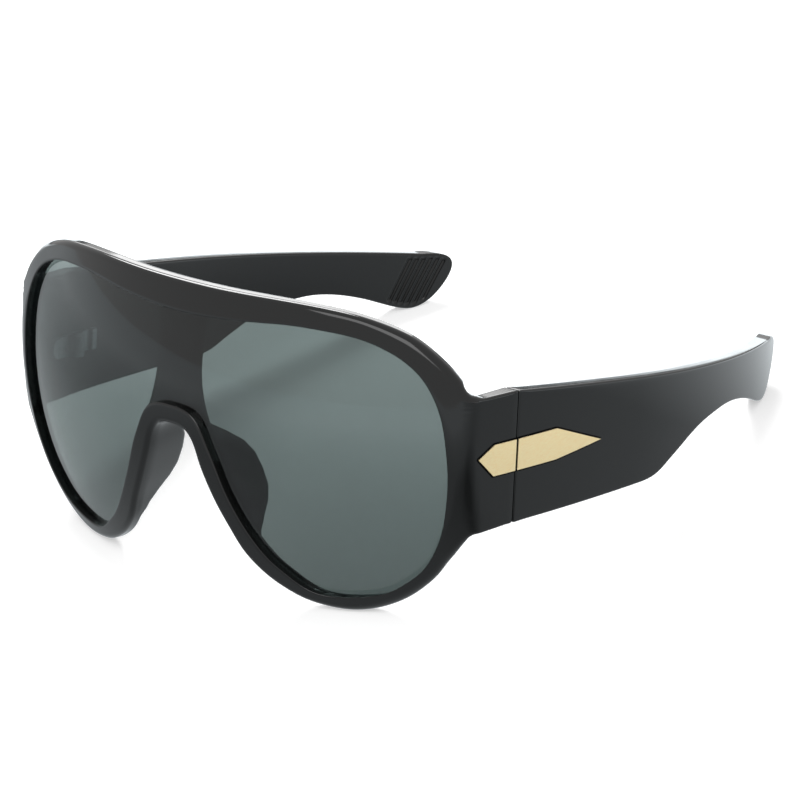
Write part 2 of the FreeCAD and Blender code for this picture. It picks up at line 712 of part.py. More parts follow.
# Screw: a turned profile with a driver slot across its head
screw = body("left_hinge_screw")
head = tall / 2 + size("head_height")
screw_sketch = body_sketch(screw, "screw_profile", "XZ_Plane", polygon([
    (0, -tall / 2), (size("screw_radius"), -tall / 2), (size("screw_radius"), tall / 2),
    (size("head_radius"), tall / 2), (size("head_radius"), head), (0, head)]))
turned = feature(screw, "Revolution", "screw_turned", screw_sketch)
turned.ReferenceAxis = (screw_sketch, ["V_Axis"])
slot_half = size("slot_width") / 2
slot_sketch = body_sketch(screw, "slot_profile", "XZ_Plane", polygon([
    (-slot_half, head - size("slot_depth")), (slot_half, head - size("slot_depth")),
    (slot_half, head + over), (-slot_half, head + over)]))
slot = feature(screw, "Pocket", "driver_slot", slot_sketch)
slot.Midplane = True
slot.setExpression("Length", "4 * sizes.head_radius")

for piece in (front_leaf, temple_leaf):
    piece.Placement = hinge_place
screw.Placement = hinge_place.multiply(FreeCAD.Placement(V(0, pin, 0), FreeCAD.Rotation()))
doc.recompute()

# Tip the whole model so that it rests on the lobes and the temple tips, over the origin
left_parts = [temple, front_inlay, temple_inlay, front_leaf, temple_leaf, screw]
middle_parts = [front, lens]
tilt = FreeCAD.Placement(V(), FreeCAD.Rotation(V(1, 0, 0), -size("rest_tilt")))
tipped = [part.Shape.copy() for part in middle_parts + left_parts]
for shape in tipped:
    shape.Placement = tilt.multiply(shape.Placement)
box = Part.makeCompound(tipped).optimalBoundingBox(False)
rest = FreeCAD.Placement(V(0, -(box.YMin + box.YMax) / 2, -box.ZMin), tilt.Rotation)
for part in middle_parts + left_parts:
    part.Placement = rest.multiply(part.Placement)
right_parts = [mirrored(part.Name.replace("left", "right"), part) for part in left_parts]
doc.recompute()

os.makedirs("parts", exist_ok=True)
for item in doc.Objects:
    if "Invalid" in item.State or "Error" in item.State:
        raise RuntimeError("%s did not build: %s" % (item.Name, item.State))
for part in middle_parts + left_parts + right_parts:
    part.Label = part.Name
    if part.Shape.isNull() or not part.Shape.isValid():
        raise RuntimeError("%s has no valid shape" % part.Label)
    part.Shape.exportStep("parts/%s.step" % part.Label)
    print(part.Label, len(part.Shape.Solids), round(part.Shape.Volume, 1))
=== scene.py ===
"""Looks of a pair of oversized shield sunglasses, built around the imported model."""

import json
import logging
import math
from dataclasses import dataclass, field
from enum import Enum
from typing import Any

import bmesh
import bpy
import numpy as np
from mathutils import Matrix, Vector


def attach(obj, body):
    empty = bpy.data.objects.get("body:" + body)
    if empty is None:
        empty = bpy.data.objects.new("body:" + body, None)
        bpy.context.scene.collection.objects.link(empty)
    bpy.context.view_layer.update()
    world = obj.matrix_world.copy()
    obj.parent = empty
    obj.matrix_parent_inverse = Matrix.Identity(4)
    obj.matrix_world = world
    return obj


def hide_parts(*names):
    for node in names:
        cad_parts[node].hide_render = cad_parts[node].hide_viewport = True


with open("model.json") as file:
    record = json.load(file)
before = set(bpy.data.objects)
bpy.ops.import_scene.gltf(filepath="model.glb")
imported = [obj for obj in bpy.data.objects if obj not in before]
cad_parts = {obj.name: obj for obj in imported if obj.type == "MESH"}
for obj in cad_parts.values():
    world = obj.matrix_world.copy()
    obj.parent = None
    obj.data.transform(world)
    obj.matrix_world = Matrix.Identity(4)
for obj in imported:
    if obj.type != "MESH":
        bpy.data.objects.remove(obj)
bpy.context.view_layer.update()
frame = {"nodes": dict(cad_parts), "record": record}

LOG = logging.getLogger("sunglasses")
MM = 0.001
QUARTER = math.pi / 2
# Vertices nearer than the first are merged, faces thinner than the second are dissolved, in metres
MERGE, SLIVER = 1e-7, 1e-8
# Number of points on a small rounded corner of an outline
ARC_POINTS = 9
# Power that crowds stations toward one end of a run
CROWDING = 1.8
# Where nearly all values of a noise texture lie
NOISE_SPAN = (0.3, 0.7)


class Body(Enum):
    """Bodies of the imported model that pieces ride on."""

    FRONT = "front"
    LEFT = "left_temple"
    RIGHT = "right_temple"


class Slot(Enum):
    """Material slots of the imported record."""

    PLASTIC = "frame_plastic"
    LENS = "lens"
    STEEL = "hinge_steel"
    BRASS = "inlay_brass"


class Side(Enum):
    """Sides of the wearer, with the sign of X."""

    LEFT = 1
    RIGHT = -1


class Crowd(Enum):
    """Where the stations of a run stand closer together."""

    EVEN = "nowhere"
    START = "at the start"
    END = "at the end"
    BOTH = "at both ends"

    def spread(self, t: np.ndarray) -> np.ndarray:
        """Moves even shares of a run closer together at its ends.

        Formula: a power of the share crowds one end, half of one less its cosine crowds both.

        Args:
            t: Even shares from 0 to 1.

        Returns:
            The crowded shares.
        """
        return {Crowd.EVEN: t, Crowd.START: t**CROWDING, Crowd.END: 1 - (1 - t) ** CROWDING,
                Crowd.BOTH: (1 - np.cos(np.pi * t)) / 2}[self]


# ---------------------------------------------------------------- curves and grids


def smooth_step(share: np.ndarray) -> np.ndarray:
    """Eases from 0 to 1 with level ends."""
    held = np.clip(share, 0.0, 1.0)
    return held * held * (3 - 2 * held)


def between(count: int) -> np.ndarray:
    """Gives even shares between 0 and 1, without the ends."""
    return np.linspace(0, 1, count + 2)[1:-1]


def nearest(values: np.ndarray, target: float) -> int:
    """Gives the place in a row of the value nearest a target."""
    return int(np.argmin(abs(values - target)))


def spline(points: list, first: tuple | None = None, last: tuple | None = None,
           dense: int = 60) -> np.ndarray:
    """Runs a smooth curve through points.

    Formula: a cubic on every span, whose slopes solve the system that keeps the bend continuous where
    spans meet; the parameter is the chord length. A free end has no bend.

    Args:
        points: Points in the plane.
        first: Direction at the first point, if held.
        last: Direction at the last point, if held.
        dense: Samples on each span.

    Returns:
        Points along the curve, one a row.
    """
    p = np.asarray(points, float)
    count = len(p)
    chord = np.linalg.norm(np.diff(p, axis=0), axis=1)
    rise = np.diff(p, axis=0) / chord[:, None]
    system, target = np.zeros((count, count)), np.zeros((count, 2))
    inner = np.arange(1, count - 1)
    system[inner, inner - 1] = chord[1:]
    system[inner, inner] = 2 * (chord[:-1] + chord[1:])
    system[inner, inner + 1] = chord[:-1]
    target[1:-1] = 3 * (chord[1:, None] * rise[:-1] + chord[:-1, None] * rise[1:])
    for row, near, slope, held in ((0, 1, rise[0], first), (count - 1, count - 2, rise[-1], last)):
        system[row, row], system[row, near] = (2, 1) if held is None else (1, 0)
        target[row] = 3 * slope if held is None else held
    slopes = np.linalg.solve(system, target)
    t = np.linspace(0, 1, dense, endpoint=False)[None, :, None]
    leave, arrive = slopes[:-1, None] * chord[:, None, None], slopes[1:, None] * chord[:, None, None]
    curve = ((2 * t**3 - 3 * t**2 + 1) * p[:-1, None] + (t**3 - 2 * t**2 + t) * leave
             + (3 * t**2 - 2 * t**3) * p[1:, None] + (t**3 - t**2) * arrive)
    return np.vstack([curve.reshape(-1, 2), p[-1:]])


def distance(line: np.ndarray) -> np.ndarray:
    """Gives the distance along a polyline at each of its points."""
    return np.concatenate([[0.0], np.cumsum(np.linalg.norm(np.diff(line, axis=0), axis=1))])


def points_at(line: np.ndarray, places: np.ndarray) -> np.ndarray:
    """Gives the points of a plane polyline at distances along it."""
    run = distance(line)
    return np.stack([np.interp(places, run, line[:, 0]), np.interp(places, run, line[:, 1])], axis=-1)


def corner_arc(corner: tuple, arrive: tuple, leave: tuple, radius: float,
               count: int = ARC_POINTS) -> np.ndarray:
    """Rounds a corner of an outline.

    Formula: corner - radius * arrive * (1 - sin a) + radius * leave * (1 - cos a), a from 0 to 90 degrees.

    Args:
        corner: The sharp corner.
        arrive: Direction of the run that ends there.
        leave: Direction of the run that starts there.
        radius: Size of the rounding.
        count: Number of points.

    Returns:
        Points of the arc.
    """
    a = np.linspace(0, QUARTER, count)[:, None]
    return (np.asarray(corner) - radius * (1 - np.sin(a)) * np.asarray(arrive)
            + radius * (1 - np.cos(a)) * np.asarray(leave))


def inward(line: np.ndarray, closed: bool) -> np.ndarray:
    """Gives the normals on the right-hand side of a plane polyline.

    Args:
        line: Points of the polyline.
        closed: Whether the last point joins the first.

    Returns:
        Unit normals, one a row.
    """
    if closed:
        run = np.roll(line, -1, axis=0) - np.roll(line, 1, axis=0)
    else:
        run = np.gradient(line, axis=0)
    run = run / np.linalg.norm(run, axis=1, keepdims=True)
    return np.stack([run[:, 1], -run[:, 0]], axis=1)


def edge_round(edge: np.ndarray, skin: np.ndarray, wall: np.ndarray, angles: np.ndarray) -> np.ndarray:
    """Rounds the edge between a skin and a wall.

    Formula: edge + (skin - edge) * (1 - cos a) + (wall - edge) * (1 - sin a); it leaves the skin and
    meets the wall without a crease.

    Args:
        edge: The sharp edge, one point a row.
        skin: Where the rounding leaves the skin.
        wall: Where it meets the wall.
        angles: 0 on the wall to 90 degrees on the skin.

    Returns:
        Grid of points, stations by angles.
    """
    a = angles[None, :, None]
    return edge[:, None] + (skin - edge)[:, None] * (1 - np.cos(a)) + (wall - edge)[:, None] * (1 - np.sin(a))


def lerp(start: np.ndarray, end: np.ndarray, shares: np.ndarray) -> np.ndarray:
    """Spreads straight runs from one row of points to another, as a grid."""
    t = shares[None, :, None]
    return start[:, None] * (1 - t) + end[:, None] * t


@dataclass(frozen=True)
class Stance:
    """How the design frame rests on the table: turned about X and moved, in mm."""

    tilt: float = 11.45
    shift: tuple[float, float, float] = (0.0, -88.62528, 4.29579)

    def place(self, points: np.ndarray) -> np.ndarray:
        """Takes design points to the world: a turn about X, then a shift.

        Args:
            points: Design points in mm.

        Returns:
            World points in metres.
        """
        c, s = math.cos(math.radians(self.tilt)), math.sin(math.radians(self.tilt))
        x, y, z = points[..., 0], points[..., 1], points[..., 2]
        turned = np.stack([x, c * y + s * z, c * z - s * y], axis=-1)
        return (turned + np.asarray(self.shift)) * MM


def grid_faces(rows: int, columns: int, wrap_rows: bool, wrap_columns: bool) -> np.ndarray:
    """Lists the quads of a grid.

    Args:
        rows: Number of rows.
        columns: Number of columns.
        wrap_rows: Whether the last row joins the first.
        wrap_columns: Whether the last column joins the first.

    Returns:
        Four vertex numbers for every quad.
    """
    i, j = np.meshgrid(np.arange(rows if wrap_rows else rows - 1),
                       np.arange(columns if wrap_columns else columns - 1), indexing="ij")
    i_next, j_next = (i + 1) % rows, (j + 1) % columns
    corners = (i * columns + j, i_next * columns + j, i_next * columns + j_next, i * columns + j_next)
    return np.stack(corners, axis=-1).reshape(-1, 4)


def volume_sign(points: np.ndarray, quads: np.ndarray) -> float:
    """Tells by the sign of its volume whether a closed surface faces outward."""
    a, b, c, d = (points[quads[:, k]] for k in range(4))
    return float(np.sum(np.cross(b - a, c - a) * a) + np.sum(np.cross(c - a, d - a) * a))


def surface(name: str, grids: list[tuple[np.ndarray, bool, bool]], stance: Stance) -> Any:
    """Turns closed grids of design points into one smooth mesh object.

    Args:
        name: Name of the object.
        grids: Points (rows, columns, 3) in mm, and whether rows and columns close on themselves.
        stance: How the design rests in the world.

    Returns:
        The new object, at the origin.
    """
    places, faces, start = [], [], 0
    for points, wrap_rows, wrap_columns in grids:
        flat = stance.place(points).reshape(-1, 3)
        quads = grid_faces(points.shape[0], points.shape[1], wrap_rows, wrap_columns)
        if volume_sign(flat, quads) < 0:
            quads = quads[:, ::-1]
        places.append(flat)
        faces.append(quads + start)
        start += len(flat)
    flat, quads = np.vstack(places), np.vstack(faces)
    mesh = bpy.data.meshes.new(name)
    mesh.vertices.add(len(flat))
    mesh.vertices.foreach_set("co", flat.astype(np.float32).ravel())
    mesh.loops.add(quads.size)
    mesh.loops.foreach_set("vertex_index", quads.astype(np.int32).ravel())
    mesh.polygons.add(len(quads))
    mesh.polygons.foreach_set("loop_start", np.arange(0, quads.size, 4, dtype=np.int32))
    mesh.update(calc_edges=True)
    shell = bmesh.new()
    shell.from_mesh(mesh)
    bmesh.ops.remove_doubles(shell, verts=shell.verts, dist=MERGE)
    bmesh.ops.dissolve_degenerate(shell, edges=shell.edges, dist=SLIVER)
    shell.to_mesh(mesh)
    shell.free()
    mesh.shade_smooth()
    obj = bpy.data.objects.new(name, mesh)
    bpy.context.scene.collection.objects.link(obj)
    return obj


# ---------------------------------------------------------------- materials


def linear(code: str) -> tuple[float, float, float, float]:
    """Turns an sRGB hex colour into linear light, by the sRGB standard's curve.

    Args:
        code: Six hex digits after a hash sign.

    Returns:
        Red, green, blue and alpha.
    """
    parts = [int(code[i:i + 2], 16) / 255 for i in (1, 3, 5)]
    light = [c / 12.92 if c <= 0.04045 else ((c + 0.055) / 1.055) ** 2.4 for c in parts]
    return (light[0], light[1], light[2], 1.0)


def add_node(tree: Any, kind: str, settings: dict | None = None, **inputs: Any) -> Any:
    """Adds a node with its settings and links.

    Args:
        tree: Node tree that takes the node.
        kind: Blender's name of the node type.
        settings: Properties of the node itself.
        inputs: Socket values by name, with _ for a space, or i and a number; an output socket is linked.

    Returns:
        The new node.
    """
    node = tree.nodes.new(kind)
    for name, value in (settings or {}).items():
        setattr(node, name, value)
    for name, value in inputs.items():
        key = int(name[1:]) if name[0] == "i" and name[1:].isdigit() else name.replace("_", " ")
        socket = node.inputs[key]
        if isinstance(value, bpy.types.NodeSocket):
            tree.links.new(value, socket)
        else:
            socket.default_value = value
    return node


def new_material(name: str) -> tuple[Any, Any, Any]:
    """Makes an empty node material.

    Args:
        name: Name of the material.

    Returns:
        The material, its node tree and its output node.
    """
    material = bpy.data.materials.new(name)
    material.use_nodes = True
    tree = material.node_tree
    tree.nodes.clear()
    return material, tree, tree.nodes.new("ShaderNodeOutputMaterial")


@dataclass(frozen=True)
class GlossPlastic:
    """Injection-moulded polycarbonate, polished: deep black under a clear skin of reflections."""

    name: str = "moulded_black_polycarbonate"
    colour: str = "#0b0c0c"
    ior: float = 1.42
    polish: tuple[float, float] = (0.06, 0.12)
    haze_mm: float = 9.0
    peel_mm: float = 1.6
    peel_strength: float = 0.003
    peel_height_mm: float = 0.05

    def build(self) -> Any:
        """Makes the material: a patchy polish and a very faint orange peel from the mould.

        Returns:
            The material.
        """
        material, tree, out = new_material(self.name)
        spot = tree.nodes.new("ShaderNodeTexCoord").outputs["Object"]
        # Patches of finer and coarser polish about 9 mm wide, as handling leaves them
        haze = add_node(tree, "ShaderNodeTexNoise", Vector=spot, Scale=1 / (self.haze_mm * MM), Detail=2.0)
        rough = add_node(tree, "ShaderNodeMapRange", i0=haze.outputs[0], From_Min=NOISE_SPAN[0],
                         From_Max=NOISE_SPAN[1], To_Min=self.polish[0], To_Max=self.polish[1])
        # Ripple about 1.6 mm wide that softens straight reflections a little
        peel = add_node(tree, "ShaderNodeTexNoise", Vector=spot, Scale=1 / (self.peel_mm * MM), Detail=1.0)
        bump = add_node(tree, "ShaderNodeBump", Strength=self.peel_strength,
                        Distance=self.peel_height_mm * MM, Height=peel.outputs[0])
        shader = add_node(tree, "ShaderNodeBsdfPrincipled", Base_Color=linear(self.colour),
                          Roughness=rough.outputs[0], IOR=self.ior, Normal=bump.outputs[0])
        tree.links.new(shader.outputs[0], out.inputs[0])
        return material


@dataclass(frozen=True)
class GapShadeBlack:
    """Matt near-black, painted shade: a dark line that stands in for the shade in the gap round each plate
    and sets the plates off from the gloss.
    """

    name: str = "painted_gap_shade_black"
    skin: str = "#060606"
    hollow: str = "#020202"
    pore_mm: float = 0.15
    roughness: float = 0.9
    ior: float = 1.15

    def build(self) -> Any:
        """Makes the material for the painted gap shade: fine pores 0.15 mm wide take the last of the gloss.

        Returns:
            The material.
        """
        material, tree, out = new_material(self.name)
        spot = tree.nodes.new("ShaderNodeTexCoord").outputs["Object"]
        pores = add_node(tree, "ShaderNodeTexNoise", Vector=spot, Scale=1 / (self.pore_mm * MM), Detail=1.0)
        tone = add_node(tree, "ShaderNodeValToRGB", Fac=pores.outputs[0])
        tone.color_ramp.elements[0].color = linear(self.hollow)
        tone.color_ramp.elements[1].color = linear(self.skin)
        shader = add_node(tree, "ShaderNodeBsdfPrincipled", Base_Color=tone.outputs[0],
                          Roughness=self.roughness, IOR=self.ior)
        tree.links.new(shader.outputs[0], out.inputs[0])
        return material


@dataclass(frozen=True)
class TintedLens:
    """Dyed polycarbonate lens, hard coated: a neutral grey that leans a little to green."""

    name: str = "grey_tint_polycarbonate"
    # Painted shade: the tint at the top and at the bottom, darker toward the bottom
    top: str = "#5b6766"
    bottom: str = "#4a5453"
    top_mm: float = 68.0
    bottom_mm: float = 6.0
    ior: float = 1.42

    def build(self) -> Any:
        """Makes the material: a grey-green tint with painted shade, darker toward the bottom and lighter
        toward the brow.

        Returns:
            The material.
        """
        material, tree, out = new_material(self.name)
        spot = tree.nodes.new("ShaderNodeTexCoord").outputs["Object"]
        place = add_node(tree, "ShaderNodeSeparateXYZ", Vector=spot)
        share = add_node(tree, "ShaderNodeMapRange", i0=place.outputs[2], From_Min=self.bottom_mm * MM,
                         From_Max=self.top_mm * MM)
        # Painted shade: the tint darkens from the brow down to the bottom
        tint_with_painted_shade = add_node(tree, "ShaderNodeValToRGB", Fac=share.outputs[0])
        tint_with_painted_shade.color_ramp.elements[0].color = linear(self.bottom)
        tint_with_painted_shade.color_ramp.elements[1].color = linear(self.top)
        shader = add_node(tree, "ShaderNodeBsdfPrincipled", Base_Color=tint_with_painted_shade.outputs[0], Roughness=0.0,
                          IOR=self.ior, Transmission_Weight=1.0)
        tree.links.new(shader.outputs[0], out.inputs[0])
        return material


@dataclass(frozen=True)
class GrainedMetal:
    """A metal brushed along one direction, with lines much longer than they are wide."""

    name: str
    light: str
    dark: str
    polish: tuple[float, float]
    line_mm: float
    long_mm: float
    tones: tuple[float, float] = (0.25, 0.6)

    def build(self) -> Any:
        """Makes the material: brushing lines run front to back and change tone and polish.

        Returns:
            The material.
        """
        material, tree, out = new_material(self.name)
        spot = tree.nodes.new("ShaderNodeTexCoord").outputs["Object"]
        stretch = add_node(tree, "ShaderNodeMapping", Vector=spot,
                           Scale=(1 / (self.line_mm * MM), 1 / (self.long_mm * MM), 1 / (self.line_mm * MM)))
        grain = add_node(tree, "ShaderNodeTexNoise", Vector=stretch.outputs[0], Scale=1.0, Detail=3.0)
        tone = add_node(tree, "ShaderNodeValToRGB", Fac=grain.outputs[0])
        for stop, colour, place in zip(tone.color_ramp.elements, (self.dark, self.light), self.tones):
            stop.color, stop.position = linear(colour), place
        rough = add_node(tree, "ShaderNodeMapRange", i0=grain.outputs[0], From_Min=NOISE_SPAN[0],
                         From_Max=NOISE_SPAN[1], To_Min=self.polish[1], To_Max=self.polish[0])
        shader = add_node(tree, "ShaderNodeBsdfPrincipled", Base_Color=tone.outputs[0],
                          Roughness=rough.outputs[0], Metallic=1.0)
        tree.links.new(shader.outputs[0], out.inputs[0])
        return material


def dress(obj: Any, material: Any) -> None:
    """Puts one material on an object."""
    obj.data.materials.clear()
    obj.data.materials.append(material)


# ---------------------------------------------------------------- pieces


@dataclass(frozen=True)
class Skin:
    """One skin of the frame: a ball in front, a round corner and a bowed side, in mm.

    A place on it is u, the distance in plan from the middle plane, and z, the height.
    """

    ball: float
    inset: float
    corner: float
    front: float = 114.0
    pole: float = 47.5
    half_width: float = 72.6
    bow: float = 495.0
    crest: float = 82.0

    @property
    def side(self) -> float:
        """Radius of the side in plan."""
        return self.bow - self.inset

    def plan(self, z: np.ndarray) -> dict[str, np.ndarray]:
        """Works out the plan of the skin at heights.

        Formula: the corner's centre is as far from the ball's axis as the ball less the corner, and as
        far from the side's axis as the side less the corner.

        Args:
            z: Heights.

        Returns:
            Ball radius, corner centre, angles and distances where the runs meet.
        """
        ball = np.sqrt(self.ball**2 - (z - self.pole) ** 2)
        base = np.array([self.half_width - self.bow, self.crest - self.front])
        apart = np.hypot(*base)
        ex, ey = base / apart
        near, far = ball - self.corner, self.side - self.corner
        along = (near**2 - far**2 + apart**2) / (2 * apart)
        off = np.sqrt(near**2 - along**2)
        cx, cy = along * ex - off * ey, self.front + along * ey + off * ex
        turn = np.arctan2(cx, self.front - cy)
        lean = np.arctan2(cy - self.crest, cx - (self.half_width - self.bow))
        end = ball * turn
        return {"ball": ball, "cx": cx, "cy": cy, "turn": turn, "lean": lean, "end": end,
                "far": end + self.corner * (lean - turn + QUARTER)}

    def at(self, u: np.ndarray, z: np.ndarray) -> np.ndarray:
        """Gives points of the skin on the side of positive X.

        Formula: an arc of the ball, then one of the corner, then one of the side; on each the angle is the
        distance over the radius.

        Args:
            u: Distances in plan from the middle plane.
            z: Heights.

        Returns:
            Points, one for every u and z.
        """
        p = self.plan(z)
        one, two = u / p["ball"], p["turn"] - QUARTER + (u - p["end"]) / self.corner
        three = p["lean"] + (u - p["far"]) / self.side
        on_ball, on_corner = u < p["end"], u < p["far"]
        x = np.where(on_ball, p["ball"] * np.sin(one),
                     np.where(on_corner, p["cx"] + self.corner * np.cos(two),
                              self.half_width - self.bow + self.side * np.cos(three)))
        y = np.where(on_ball, self.front - p["ball"] * np.cos(one),
                     np.where(on_corner, p["cy"] + self.corner * np.sin(two),
                              self.crest + self.side * np.sin(three)))
        return np.stack([x, y, np.broadcast_to(z, x.shape)], axis=-1)

    def u_of_x(self, x: np.ndarray, z: np.ndarray) -> np.ndarray:
        """Finds u from a distance across: the arcs of at(), turned round.

        Args:
            x: Distances from the middle plane.
            z: Heights.

        Returns:
            Distances in plan.
        """
        p = self.plan(z)
        two = -np.arccos(np.clip((x - p["cx"]) / self.corner, -1, 1))
        three = -np.arccos(np.clip((x - self.half_width + self.bow) / self.side, -1, 1))
        one = np.arcsin(np.clip(x / p["ball"], -1, 1))
        return np.where(x < p["ball"] * np.sin(p["turn"]), p["ball"] * one,
                        np.where(x < p["cx"] + self.corner * np.cos(p["lean"]),
                                 p["end"] + self.corner * (two - p["turn"] + QUARTER),
                                 p["far"] + self.side * (three - p["lean"])))

    def normal_of(self, u: np.ndarray, z: np.ndarray) -> np.ndarray:
        """Finds the normal in plan, which turns evenly along each arc.

        Args:
            u: Distances in plan from the middle plane.
            z: Heights.

        Returns:
            Angles from straight ahead.
        """
        p = self.plan(z)
        return np.where(u < p["end"], u / p["ball"],
                        np.where(u < p["far"], p["turn"] + (u - p["end"]) / self.corner,
                                 p["lean"] + QUARTER + (u - p["far"]) / self.side))

    def u_of_normal(self, angle: np.ndarray, z: np.ndarray) -> np.ndarray:
        """Finds u from the normal in plan: normal_of() turned round.

        Args:
            angle: Angles from straight ahead.
            z: Heights.

        Returns:
            Distances in plan.
        """
        p = self.plan(z)
        return np.where(angle < p["turn"], angle * p["ball"],
                        np.where(angle < p["lean"] + QUARTER, p["end"] + self.corner * (angle - p["turn"]),
                                 p["far"] + self.side * (angle - p["lean"] - QUARTER)))

    def u_of_y(self, y: np.ndarray, z: np.ndarray) -> np.ndarray:
        """Gives u on the side, y behind the foremost point."""
        p = self.plan(z)
        return p["far"] + self.side * (np.arcsin((y - self.crest) / self.side) - p["lean"])


OUTER = Skin(ball=114.0, inset=0.0, corner=3.5)
INNER = Skin(ball=109.8, inset=4.0, corner=2.5)

# Front view of the wearer's left half, in mm across and up: brow from the middle to the side
BROW = [(0, 73.2), (14.5, 73.2), (28, 73.2), (37, 72.84), (45, 71.95), (51.5, 70.34), (56.8, 68.19),
        (62.2, 64.35), (65.6, 61.05), (67.9, 58.0), (69.2, 56.2), (70.3, 55.45), (71.9, 55.3), (76.2, 55.3)]
# Lower edge from the side round the lobe and up the nose to the middle of the arch
LOWER = [(76.2, 23.9), (71.9, 23.9), (70.2, 23.82), (69.2, 23.1), (67.9, 21.5), (65.8, 18.5),
         (63.6, 15.54), (61.4, 12.31), (58.3, 8.84), (54.2, 5.31), (49.2, 2.39), (45, 0.82), (40.3, 0.03),
         (35.5, 0.21), (30.5, 1.2), (26, 3.3), (22.2, 5.9), (19.5, 8.48), (17.3, 11.22), (14.7, 16.2),
         (12.1, 21.33), (9.9, 26.19), (7.6, 32.19), (6, 36.5), (4, 38.71), (0, 39.5)]
# Opening from the middle of the brow round the side and the lobe to the middle of the arch
OPENING = [(0, 66.13), (13, 66.64), (22.5, 67.42), (29.9, 68), (38.1, 67.87), (45.6, 67.09), (51.4, 65.28),
           (56, 62.7), (59.6, 59.21), (62, 55.2), (63.7, 50.42), (64.8, 43.43), (65.1, 36.52), (64.5, 29.86),
           (63.2, 23.39), (61, 17.77), (58, 12.92), (54.6, 9.62), (50.5, 6.58), (46, 4.77), (41.5, 3.8),
           (37, 3.35), (33.9, 3.61), (31, 4.77), (27.5, 7.42), (24.3, 10.2), (21.2, 14.1), (18.5, 18.51),
           (16.2, 22.99), (14.2, 27.6), (12.3, 32.61), (10.5, 36.6), (8.9, 39.98), (6.8, 42.59), (3.9, 43.81),
           (0, 44.1)]
# Depth of the nose pads behind the face, by height
PAD_DEPTH = [(8.0, 4.2), (10.3, 4.7), (14.2, 7.4), (17, 10.5), (19.8, 13.8), (22.9, 15.9), (26.9, 16.5),
             (30.8, 16.1), (34, 14.1), (36.3, 10.4), (38.1, 6.8), (39.5, 4.4)]


